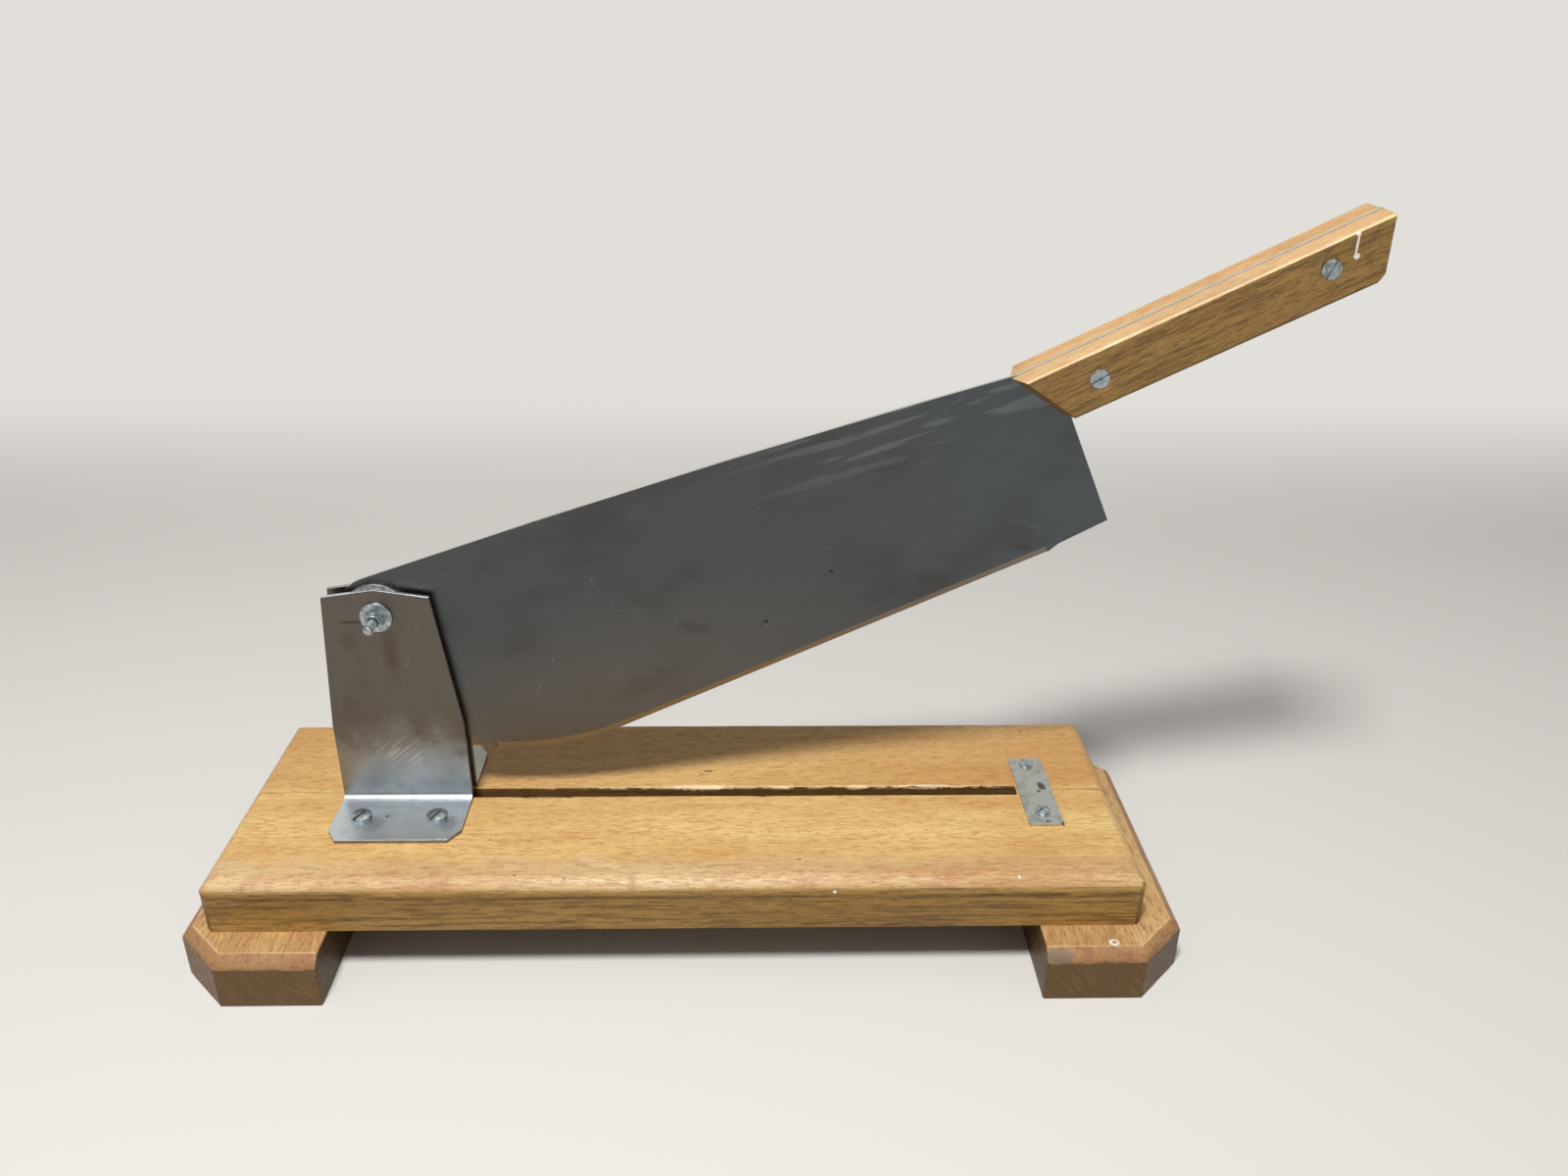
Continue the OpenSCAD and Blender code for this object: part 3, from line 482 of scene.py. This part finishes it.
def blade_finish():
    """The blade: dark brushed steel, with a painted brown reflection of the board at the belly and a painted
    bluish reflection towards the heel.
    """
    f = Finish("blade_steel", metallic=1.0)
    along = f.turn(f.place, pivot, (0.0, blade_lift, 0.0))
    u, _, v = f.split(along)
    lines = f.use(brushed_lines, Vector=along, Contrast=0.9, Base_Roughness=0.36)
    across = f.use(brushed_lines, Vector=f.turn(f.place, pivot, (0.0, blade_lift + math.pi / 2, 0.0)),
                   Contrast=0.5, Base_Roughness=0.36)
    shade = f.calc("ADD", f.times(lines["Shade"], 0.65), f.times(across["Shade"], 0.35))
    plain = f.mix(shade, tone(72, 73, 74), tone(95, 96, 97))
    # Painted reflection: the board's brown, painted onto the belly.
    board_reflection = f.times(f.ease(v, -0.015, -0.085), f.ease(u, 0.26, 0.08))
    colour = f.mix(f.times(board_reflection, 0.75), plain, f.mix(shade, tone(92, 88, 82), tone(116, 111, 104)))
    # Painted reflection: a blue grey, painted towards the heel.
    bluish_reflection = f.ease(u, 0.20, 0.33)
    colour = f.mix(f.times(bluish_reflection, 0.7), colour, f.mix(shade, tone(72, 80, 84), tone(100, 108, 112)))
    blotch = f.cloud(f.stretch(along, (0.6, 1.0, 1.0)), 24.0, 4.0, 0.6)
    colour = f.mix(f.times(f.ease(blotch, 0.48, 0.72), 0.35), colour, tone(70, 66, 62))
    streak = f.times(f.ease(f.cloud(f.stretch(along, (0.10, 1.0, 1.0)), 260.0, 2.0), 0.52, 0.62),
                     f.times(f.ease(v, -0.012, 0.006), f.ease(u, 0.16, 0.24)))
    colour = f.mix(f.times(streak, 0.22), colour, tone(150, 158, 164))
    scratch = f.use(loose_scratches, Vector=along, Scale=55.0, Width=0.005)["Mask"]
    colour = f.mix(f.times(scratch, 0.22), colour, tone(165, 165, 162))
    specks = ((239.6, 3.2, 152.9), (1.4, 2, 1.0)), ((269.8, 3.2, 179.3), (1.3, 2, 0.8))
    colour = f.paint_spots(colour, specks, tone(40, 36, 32), 0.8, ragged=0.5, grain=900.0)
    stains = (((207, 3.2, 149), (12, 3, 5)), ((320, 3.2, 176), (16, 3, 6)), ((359, 3.2, 192), (8, 3, 3)))
    colour = f.paint_spots(colour, stains, tone(60, 54, 48), 0.35, ragged=1.3, grain=140.0, soft=0.9)
    # Painted highlight: the spine looks up and is painted near white as the lamp's reflection; the ground bevel
    # looks down and is polished paler.
    spine = f.ease(f.facing[2], 0.55, 0.85)
    colour = f.mix(spine, colour, tone(214, 214, 210))
    bevel = f.times(f.ease(f.calc("ABSOLUTE", f.facing[1]), 0.999, 0.99), f.ease(f.facing[2], 0.0, -0.02))
    colour = f.mix(f.times(bevel, 0.6), colour, tone(150, 138, 120))
    rough = f.calc("ADD", lines["Roughness"], f.times(f.ease(blotch, 0.45, 0.7), 0.12))
    return f.close(colour, rough, lines["Height"], 0.12, 0.00005)


foot_grime = (
    ((53.0, -18.2, 56), (1.1, 1.0, 1)),
    ((47.0, -24.0, 56), (7.6, 7.6, 1)),
    ((83.0, -24.0, 56), (7.6, 7.6, 1)),
)


def aluminium_finish():
    """The brackets: painted bright at the bend and the foot as a painted reflection of the lamp, dull brown grey
    up the sheet, partly patina and partly painted shade.
    """
    f = Finish("angle_aluminium", metallic=1.0)
    lines = f.use(brushed_lines, Vector=f.place, Contrast=0.8, Base_Roughness=0.34)
    grain = f.turn(f.place, pivot, (0.0, math.pi / 2, 0.0))
    upright = f.use(brushed_lines, Vector=grain, Contrast=0.8, Base_Roughness=0.38)
    shade = f.calc("ADD", f.times(lines["Shade"], 0.5), f.times(upright["Shade"], 0.5))
    # Painted shade: the sheet is painted dull higher up, partly patina and partly painted shade; low down at the
    # bend it keeps a brighter painted sheen.
    dull = f.mix(shade, tone(84, 78, 72), tone(118, 111, 103))
    low_sheen_tone = f.mix(shade, tone(122, 124, 124), tone(156, 159, 160))
    blotch = f.cloud(f.place, 60.0, 4.0, 0.62)
    height = f.calc("ADD", f.z, f.times(f.calc("SUBTRACT", blotch, 0.5), 0.05))
    colour = f.mix(f.ease(height, 0.072, 0.104), low_sheen_tone, dull)
    colour = f.mix(f.times(f.ease(blotch, 0.55, 0.72), 0.25), colour, tone(74, 66, 62))
    bluish = f.times(f.between(f.z, 0.058, 0.068, 0.006), f.ease(blotch, 0.40, 0.60))
    colour = f.mix(f.times(bluish, 0.4), colour, tone(98, 104, 118))
    rubbed = f.cloud(f.stretch(f.turn(f.place, pivot, (0.0, math.radians(40), 0.0)),
                               (0.05, 1.0, 1.0)), 1300.0, 2.0)
    worn_place = f.spot((60, -1.6, 82), (16, 3, 12), ragged=0.6, grain=90.0, soft=0.9)
    colour = f.mix(f.times(f.times(f.ease(rubbed, 0.52, 0.62), worn_place), 0.6), colour, tone(190, 190, 184))
    # Brown streak below the nut: partly rust, partly a painted shadow of the bolt and nut.
    colour = f.mix(f.times(f.spot((61, -1.6, 140), (6, 3, 22), ragged=0.8, grain=120.0, soft=1.0), 0.42),
                   colour, tone(78, 58, 44))
    colour = f.mix(f.times(f.spot((44.5, -1.6, 155), (7, 3, 0.7), ragged=0.5, vector=f.shift(
        f.place, (0.0, 0.0, 0.0))), 0.6), colour, tone(52, 44, 40))
    scratch = f.use(loose_scratches, Vector=grain, Scale=90.0, Width=0.007)["Mask"]
    colour = f.mix(f.times(scratch, 0.25), colour, tone(176, 172, 166))
    # Painted reflection: faces that look up, the bracket's foot, are painted near white as the lamp's reflection.
    up = f.ease(f.facing[2], 0.25, 0.75)
    foot = f.mix(shade, tone(196, 204, 210), tone(232, 238, 242))
    foot = f.mix(f.times(f.ease(blotch, 0.55, 0.7), 0.35), foot, tone(150, 156, 164))
    foot = f.paint_spots(foot, foot_grime[1:], tone(130, 134, 138), 0.45, ragged=0.8, grain=300.0, soft=0.6)
    foot = f.paint_spots(foot, foot_grime[:1], tone(40, 38, 36), 0.8)
    # Painted reflection and shade: the rear bracket's foot is painted olive as the wood's reflection and the
    # blade's shadow.
    rear_foot_shade = f.ease(f.y, slot_y1 - 0.001, slot_y1 + 0.001)
    foot = f.mix(f.times(rear_foot_shade, 0.7), foot, tone(128, 120, 86))
    colour = f.mix(up, colour, foot)
    rough = f.calc("ADD", lines["Roughness"], f.times(f.ease(blotch, 0.4, 0.7), 0.10))
    return f.close(colour, rough, shade, 0.12, 0.00005)


def strap_finish():
    """The strap: worn grey steel with one olive stain."""
    f = Finish("strap_steel", metallic=1.0)
    lines = f.use(brushed_lines, Vector=f.put("ShaderNodeMapping", {
        "Vector": f.place, "Rotation": (0.0, 0.0, math.pi / 2)}).outputs[0],
        Contrast=0.9, Base_Roughness=0.36)
    blotch = f.cloud(f.place, 150.0, 4.0, 0.65)
    colour = f.mix(lines["Shade"], tone(164, 167, 160), tone(208, 211, 204))
    colour = f.mix(f.times(f.ease(blotch, 0.48, 0.66), 0.45), colour, tone(126, 128, 122))
    stain = ((382.6, 6.0, 55.2), (2.6, 4.6, 1)), ((380.5, 1.5, 55.2), (1.5, 1.2, 1))
    colour = f.paint_spots(colour, stain, tone(66, 62, 40), 0.85, ragged=0.9, grain=420.0, soft=0.5)
    notch = (((386.9, -25.6, 55.2), (1.3, 1.3, 2)), ((379.5, -24.0, 55.2), (1.6, 0.8, 1)))
    colour = f.paint_spots(colour, notch, tone(58, 54, 44), 0.8, ragged=0.5)
    rough = f.calc("ADD", lines["Roughness"], f.times(blotch, 0.12))
    return f.close(colour, rough, blotch, 0.10, 0.0001)


def plated_finish(name, dark, light, roughness):
    """Zinc-plated or bare turned steel: cloudy, with dull specks and rubbed high spots."""
    f = Finish(name, metallic=1.0)
    cloudy = f.cloud(f.place, 420.0, 4.0, 0.65)
    fine = f.cloud(f.place, 2600.0, 2.0, 0.6)
    colour = f.mix(f.ease(cloudy, 0.36, 0.66), light, dark)
    colour = f.mix(f.times(f.ease(fine, 0.58, 0.70), 0.25), colour, tone(96, 98, 96))
    rough = f.calc("ADD", roughness, f.times(cloudy, 0.16))
    return f.close(colour, rough, cloudy, 0.06, 0.00005)


def nylon_finish():
    """The dark plastic ring inside the nut."""
    f = Finish("dark_nylon", roughness=0.5)
    cloudy = f.cloud(f.place, 900.0, 2.0)
    return f.close(f.mix(cloudy, tone(34, 36, 40), tone(58, 60, 66)), None, cloudy, 0.1, 0.0001)


finishes = {
    "board_wood": plank_finish(),
    "foot_wood": foot_finish(),
    "handle_wood": handle_finish(),
    "blade_steel": blade_finish(),
    "angle_aluminium": aluminium_finish(),
    "strap_steel": strap_finish(),
    "spacer_steel": plated_finish("spacer_steel", tone(104, 104, 102), tone(158, 158, 154), 0.34),
    "zinc_steel": plated_finish("zinc_steel", tone(132, 140, 144), tone(186, 194, 198), 0.26),
}
dark_nylon = nylon_finish()


def dress_nodes():
    """Gives every CAD node the finish of its slot."""
    for name, node in frame["nodes"].items():
        node.data.materials.clear()
        node.data.materials.append(finishes[slot_of[name]])


def copy_of(name):
    """A bmesh copy of a CAD node: its triangles joined up and its flat faces made whole."""
    node = frame["nodes"][name]
    bm = bmesh.new()
    bm.from_mesh(node.data)
    bm.transform(node.matrix_world)
    bmesh.ops.remove_doubles(bm, verts=bm.verts[:], dist=1e-6)
    bmesh.ops.dissolve_limit(bm, angle_limit=math.radians(0.5), verts=bm.verts[:], edges=bm.edges[:])
    return bm


def soften(bm, width, segments=2, least=30, where=None, straight=0.0):
    """Rounds the edges sharper than least degrees and longer than straight."""
    def wanted(edge):
        if len(edge.link_faces) != 2 or edge.calc_face_angle(0.0) < math.radians(least):
            return False
        if edge.calc_length() < straight:
            return False
        middle = (edge.verts[0].co + edge.verts[1].co) / 2
        return where is None or where(middle)
    bmesh.ops.bevel(bm, geom=[e for e in bm.edges if wanted(e)], offset=width, offset_type="OFFSET",
                    segments=segments, profile=0.5, affect="EDGES", clamp_overlap=True, material=-1)


def cut_across(bm, axis, places):
    """Cuts a mesh across one axis at several places, so that it can be bent or worn there."""
    normal = [0.0, 0.0, 0.0]
    normal[axis] = 1.0
    for place in places:
        point = [0.0, 0.0, 0.0]
        point[axis] = place
        bmesh.ops.bisect_plane(bm, geom=bm.verts[:] + bm.edges[:] + bm.faces[:],
                               plane_co=point, plane_no=normal)


def evenly(low, high, step):
    """Places between two ends, one step apart."""
    count = int((high - low) / step)
    return [low + (index + 0.5) * (high - low) / count for index in range(count)]


def wear(bm, depth, scale, turn=0.0):
    """Takes a little off the rounded edges, more in some places; flat faces stay."""
    bm.normal_update()
    turned = Matrix.Rotation(turn, 3, "Y")
    moves = []
    for vert in bm.verts:
        straight = turned @ vert.normal
        tilt = 1 - max(abs(straight.x), abs(straight.y), abs(straight.z))
        if tilt > 0.02:
            bite = 0.5 + 0.5 * noise.noise(vert.co * scale) + 0.2 * noise.noise(vert.co * scale * 4)
            moves.append((vert, vert.normal * depth * min(tilt / 0.2, 1.0) * max(bite, 0.0)))
    for vert, move in moves:
        vert.co -= move


def hand_over(bm, name, body, slot, *replaced, finish=None, smooth=50):
    """Makes a bmesh a piece of the scene, hangs it on its body and hides the CAD nodes it replaces."""
    bmesh.ops.recalc_face_normals(bm, faces=bm.faces[:])
    mesh = bpy.data.meshes.new(name)
    bm.to_mesh(mesh)
    bm.free()
    mesh.shade_smooth()
    mesh.set_sharp_from_angle(angle=math.radians(smooth))
    mesh.materials.append(finish or finishes[slot])
    piece = bpy.data.objects.new(name, mesh)
    bpy.context.scene.collection.objects.link(piece)
    flat = piece.modifiers.new("flat_faces", "WEIGHTED_NORMAL")
    flat.keep_sharp = True
    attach(piece, body)
    if replaced:
        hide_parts(*replaced)
    return piece


def hand_over_node(bm, node, **looks):
    """The same for a piece that stands for one CAD node."""
    return hand_over(bm, node + "_detailed", body_of[node], slot_of[node], node, **looks)


# Splinters broken out of the slot's lips: where they start, where they end, how deep, in mm
rear_chips = ((186, 223, 1.5), (238, 252, 0.9), (279, 292, 1.0), (302, 314, 0.6), (330, 344, 0.6), (120, 131, 0.5))
front_chips = ((110, 119, 0.4), (132, 141, 0.5), (232, 240, 0.4))
lip_reach = 2.2 * MM
lip_depth = 1.4 * MM


def break_lip(bm, lip_y, side, chips, grain):
    """Cuts the slot's upper lip finely and breaks splinters out of it."""
    def near(point):
        return abs(point.y - lip_y) < lip_reach + 1e-5 and point.z > board_top - lip_depth - 1e-5

    for offset in (0.45, 1.0):
        bmesh.ops.bisect_plane(bm, geom=bm.verts[:] + bm.edges[:] + bm.faces[:],
                               plane_co=(0, lip_y + side * lip_reach * offset, 0), plane_no=(0, 1, 0))
    wall = [f for f in bm.faces if abs(f.normal.y) > 0.9 and abs(f.calc_center_median().y - lip_y) < 0.4 * MM]
    wall += list({e for f in wall for e in f.edges}) + list({v for f in wall for v in f.verts})
    bmesh.ops.bisect_plane(bm, geom=wall, plane_co=(0, 0, board_top - lip_depth), plane_no=(0, 0, 1))
    strip = [f for f in bm.faces if all(near(v.co) for v in f.verts)]
    strip += list({e for f in strip for e in f.edges}) + list({v for f in strip for v in f.verts})
    for place in evenly(slot_x0, slot_x1, 0.9 * MM):
        strip = bmesh.ops.bisect_plane(bm, geom=strip, plane_co=(place, 0, 0), plane_no=(1, 0, 0))["geom"]
    for vert in bm.verts:
        point = vert.co
        if not near(point) or not slot_x0 + 1e-4 < point.x < slot_x1 - 1e-4:
            continue
        reach = 1 - abs(point.y - lip_y) / lip_reach
        depth = 1 - (board_top - point.z) / lip_depth
        hold = max(0.0, min(reach, depth) if abs(point.y - lip_y) > 1e-4 else depth)
        bite = grain * (0.5 + noise.noise((point.x * 900, lip_y * 500, 0.0)))
        for begin, end, most in chips:
            run = (point.x / MM - begin) / (end - begin)
            if 0 < run < 1:
                bite += most * MM * run * (0.75 + 0.4 * noise.noise((point.x * 1300, 3.0, lip_y)))
        bite = max(bite, 0.0) * hold
        point.z -= bite * 0.9
        point.y += side * bite * 0.7


def make_planks():
    for node, lip_y, side, chips, grain in (
        ("front_plank", slot_y0, -1, front_chips, 0.10 * MM),
        ("rear_plank", slot_y1, 1, rear_chips, 0.22 * MM),
    ):
        bm = copy_of(node)
        soften(bm, 0.35 * MM, 2, straight=1 * MM)
        cut_across(bm, 0, evenly(front_lo.x, front_hi.x, 7 * MM))
        wear(bm, 0.35 * MM, 55)
        break_lip(bm, lip_y, side, chips, grain)
        hand_over_node(bm, node)


def make_feet():
    for node in ("left_foot", "right_foot"):
        low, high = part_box(node)
        bm = copy_of(node)
        soften(bm, 0.6 * MM, 3, straight=1 * MM)
        cut_across(bm, 1, evenly(low.y, high.y, 7 * MM))
        cut_across(bm, 0, evenly(low.x, high.x, 9 * MM))
        wear(bm, 0.7 * MM, 48)
        hand_over_node(bm, node)


def make_splinters():
    """Loose fibres that still hang on the slot's rear lip."""
    bm = bmesh.new()
    fibres = (
        (313.0, 9.5, 24.0, 0.22), (318.5, 8.0, -14.0, 0.18), (296.0, 6.5, 18.0, 0.20),
        (222.0, 8.5, -12.0, 0.24), (243.0, 5.5, 15.0, 0.16), (345.0, 6.0, 20.0, 0.15),
    )
    for middle, length, lean, thick in fibres:
        made = bmesh.ops.create_cone(
            bm, cap_ends=True, segments=6, radius1=thick * MM, radius2=0.05 * MM, depth=length * MM)
        place = (
            Matrix.Translation((middle * MM, slot_y1 - 0.3 * MM, board_top + 0.05 * MM))
            @ Matrix.Rotation(math.radians(lean * 0.2), 4, "Z")
            @ Matrix.Rotation(math.pi / 2 - math.radians(lean * 0.3), 4, "Y")
        )
        bmesh.ops.transform(bm, matrix=place, verts=made["verts"])
    hand_over(bm, "slot_splinters", "base", "board_wood")


def make_brackets():
    """Bends the sharp angle of each bracket to the sheet's own radius."""
    for node, face_y, side in (("front_bracket", slot_y0, -1), ("rear_bracket", slot_y1, 1)):
        inner_y = face_y + side * bracket_sheet

        def at(y, z):
            return lambda middle: abs(middle.y - y) < 1e-5 and abs(middle.z - z) < 1e-5

        bm = copy_of(node)
        soften(bm, bend_inside, 6, where=at(inner_y, board_top + bracket_sheet))
        soften(bm, bend_inside + bracket_sheet, 8, where=at(face_y, board_top))
        soften(bm, 0.28 * MM, 2, least=50, where=lambda middle: middle.z > board_top - 1e-4)
        hand_over_node(bm, node)


def spun(bm, profile, steps=48):
    """Turns a profile of (radius, height) points once about the Z axis."""
    verts = [bm.verts.new((radius, 0.0, height)) for radius, height in profile]
    edges = [bm.edges.new(pair) for pair in zip(verts, verts[1:] + verts[:1])]
    bmesh.ops.spin(bm, geom=verts + edges, axis=(0, 0, 1), cent=(0, 0, 0), angle=2 * math.pi,
                   steps=steps, use_merge=True)


def to_pivot(bm, start_y):
    """Lays what was built upwards from the origin along the pivot, towards the front."""
    bm.transform(Matrix.Translation((pivot.x, start_y, pivot.z)) @ Matrix.Rotation(math.pi / 2, 4, "X"))


def make_pivot():
    """The lock nut with its collar and plastic ring, and the bolt with its thread."""
    nut_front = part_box("pivot_nut")[0].y
    collar_r, collar_h, ring_r, hole_r = 3.45 * MM, 1.25 * MM, 2.95 * MM, 2.58 * MM
    bm = copy_of("pivot_nut")
    soften(bm, 0.18 * MM, 2, least=20)
    hand_over_node(bm, "pivot_nut")
    bm = bmesh.new()
    rim = 0.35 * MM
    spun(bm, ((ring_r, -0.1 * MM), (collar_r, -0.1 * MM), (collar_r, collar_h - rim),
              (collar_r - 0.12 * MM, collar_h - 0.1 * MM), (collar_r - rim, collar_h), (ring_r, collar_h)))
    to_pivot(bm, nut_front)
    hand_over(bm, "nut_collar", "base", "zinc_steel")
    bm = bmesh.new()
    spun(bm, ((hole_r, 0.0), (ring_r, 0.0), (ring_r, collar_h - 0.35 * MM), (hole_r, collar_h - 0.55 * MM)))
    to_pivot(bm, nut_front)
    hand_over(bm, "nut_ring", "base", "zinc_steel", finish=dark_nylon)

    thread_start = nut_front + 0.2 * MM
    root_r, crest_r, pitch, turn_steps = 2.12 * MM, 2.46 * MM, 0.8 * MM, 24
    tip_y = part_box("pivot_bolt")[0].y
    bm = copy_of("pivot_bolt")
    soften(bm, 0.15 * MM, 2, least=20, where=lambda middle: middle.y > slot_y1)
    cut_across(bm, 1, [thread_start])
    for vert in bm.verts:
        if vert.co.y < thread_start - 1e-5:
            away = Vector((vert.co.x - pivot.x, 0.0, vert.co.z - pivot.z))
            vert.co -= away * (1 - root_r / (2.5 * MM))
    hand_over_node(bm, "pivot_bolt")
    turns = int((thread_start - tip_y - 0.7 * MM) / pitch)
    bm = bmesh.new()
    flank = [(root_r - 0.1 * MM, 0.0), (crest_r, 0.34 * pitch), (crest_r, 0.5 * pitch), (root_r - 0.1 * MM, 0.84 * pitch)]
    face = bm.faces.new([bm.verts.new((radius, 0.0, height)) for radius, height in flank])
    bmesh.ops.spin(bm, geom=[face] + face.edges[:] + face.verts[:], axis=(0, 0, 1), cent=(0, 0, 0),
                   dvec=(0, 0, pitch / turn_steps), angle=2 * math.pi * turns, steps=turns * turn_steps)
    to_pivot(bm, thread_start)
    hand_over(bm, "bolt_thread", "base", "zinc_steel")


def make_blade():
    bm = copy_of("blade")
    soften(bm, 0.16 * MM, 2, least=60)
    hand_over_node(bm, "blade", smooth=12)


def make_handle():
    for node in ("front_scale", "rear_scale"):
        low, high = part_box(node)
        bm = copy_of(node)
        soften(bm, 0.45 * MM, 3, least=25, straight=1 * MM)
        cut_across(bm, 0, evenly(low.x, high.x, 6 * MM))
        wear(bm, 0.3 * MM, 70, handle_lift)
        hand_over_node(bm, node)


def make_small_parts():
    """Washers, spacers, screws and the strap, with their edges rounded."""
    for node, width in (
        ("front_washer", 0.22), ("rear_washer", 0.22), ("front_spacer", 0.25), ("rear_spacer", 0.25),
        ("strap_plate", 0.22), ("front_bracket_screws", 0.22), ("rear_bracket_screws", 0.22),
        ("strap_screws", 0.15), ("handle_screws", 0.15),
    ):
        bm = copy_of(node)
        soften(bm, width * MM, 2, least=40)
        hand_over_node(bm, node)


def make_camera():
    data = bpy.data.cameras.new("photo_camera")
    data.lens = camera_lens
    data.sensor_width = camera_sensor
    data.sensor_fit = "HORIZONTAL"
    camera = bpy.data.objects.new("photo_camera", data)
    bpy.context.scene.collection.objects.link(camera)
    camera.matrix_world = (
        Matrix.Translation(camera_place)
        @ Matrix.Rotation(-camera_yaw, 4, "Z")
        @ Matrix.Rotation(math.pi / 2 - camera_pitch, 4, "X")
        @ Matrix.Rotation(camera_roll, 4, "Z")
    )
    bpy.context.scene.camera = camera


def make_lamp():
    data = bpy.data.lights.new("lamp", "AREA")
    data.shape = "SQUARE"
    data.size = lamp_side
    data.energy = lamp_power
    lamp = bpy.data.objects.new("lamp", data)
    bpy.context.scene.collection.objects.link(lamp)
    lamp.location = lamp_aim + lamp_from.normalized() * lamp_distance
    lamp.rotation_mode = "QUATERNION"
    lamp.rotation_quaternion = lamp_from.to_track_quat("Z", "Y")


def make_sky():
    """An even pale sky, weak as a light, stronger where metal mirrors it."""
    world = bpy.data.worlds.new("studio")
    world.use_nodes = True
    world.node_tree.nodes.clear()
    w = Wiring(world.node_tree)
    mirrored = w.put("ShaderNodeLightPath").outputs["Is Glossy Ray"]
    strength = w.calc("ADD", sky_level, w.times(mirrored, sky_in_metal - sky_level))
    background = w.put("ShaderNodeBackground", {"Color": tone(255, 253, 250), "Strength": strength})
    w.put("ShaderNodeOutputWorld", {"Surface": background.outputs[0]})
    bpy.context.scene.world = world


def make_stage():
    """A pale floor that sweeps up into a backdrop behind the slicer."""
    depth_front, depth_back, half_width, rise, sweep = 1.6, 0.9, 2.6, 1.8, 0.5
    bm = bmesh.new()
    floor_ends = [bm.verts.new((-half_width, y, 0.0)) for y in (-depth_front, depth_back)]
    bm.edges.new(floor_ends)
    curve = bmesh.ops.spin(bm, geom=[floor_ends[1]], axis=(1, 0, 0), cent=(0, depth_back, sweep),
                           angle=math.pi / 2, steps=12)
    curve_end = [v for v in curve["geom_last"] if isinstance(v, bmesh.types.BMVert)][0]
    bm.edges.new((curve_end, bm.verts.new((-half_width, curve_end.co.y, rise))))
    swept = bmesh.ops.extrude_edge_only(bm, edges=bm.edges[:])
    moved = [v for v in swept["geom"] if isinstance(v, bmesh.types.BMVert)]
    bmesh.ops.translate(bm, verts=moved, vec=(2 * half_width, 0, 0))
    bmesh.ops.recalc_face_normals(bm, faces=bm.faces[:])
    mesh = bpy.data.meshes.new("floor")
    bm.to_mesh(mesh)
    bm.free()
    mesh.shade_smooth()
    floor = bpy.data.objects.new("floor", mesh)
    bpy.context.scene.collection.objects.link(floor)
    f = Finish("floor_paper", roughness=0.9)
    f.shader.inputs["Specular IOR Level"].default_value = 0.1
    ray = f.put("ShaderNodeLightPath").outputs
    seen = f.calc("MAXIMUM", ray["Is Camera Ray"], ray["Is Glossy Ray"])
    f.feed(f.shader.inputs["Base Color"], f.mix(seen, tone(*floor_bounce), tone(*floor_tone)))
    # The backdrop glows by itself where the lamp hardly reaches it
    far = f.calc("MAXIMUM", f.ease(f.z, 0.0, 0.10), f.ease(f.y, 0.40, 0.90))
    high = f.times(far, seen)
    glow = f.put("ShaderNodeEmission", {"Color": tone(*floor_tone), "Strength": 1.0})
    both = f.put("ShaderNodeMixShader", {0: high, 1: f.shader.outputs[0], 2: glow.outputs[0]})
    output = [n for n in f.tree.nodes if n.type == "OUTPUT_MATERIAL"][0]
    f.feed(output.inputs["Surface"], both.outputs[0])
    mesh.materials.append(f.material)


dress_nodes()
make_camera()
make_planks()
make_feet()
make_splinters()
make_brackets()
make_pivot()
make_blade()
make_handle()
make_small_parts()
make_lamp()
make_sky()
make_stage()

bpy.context.scene.view_settings.view_transform = "Standard"
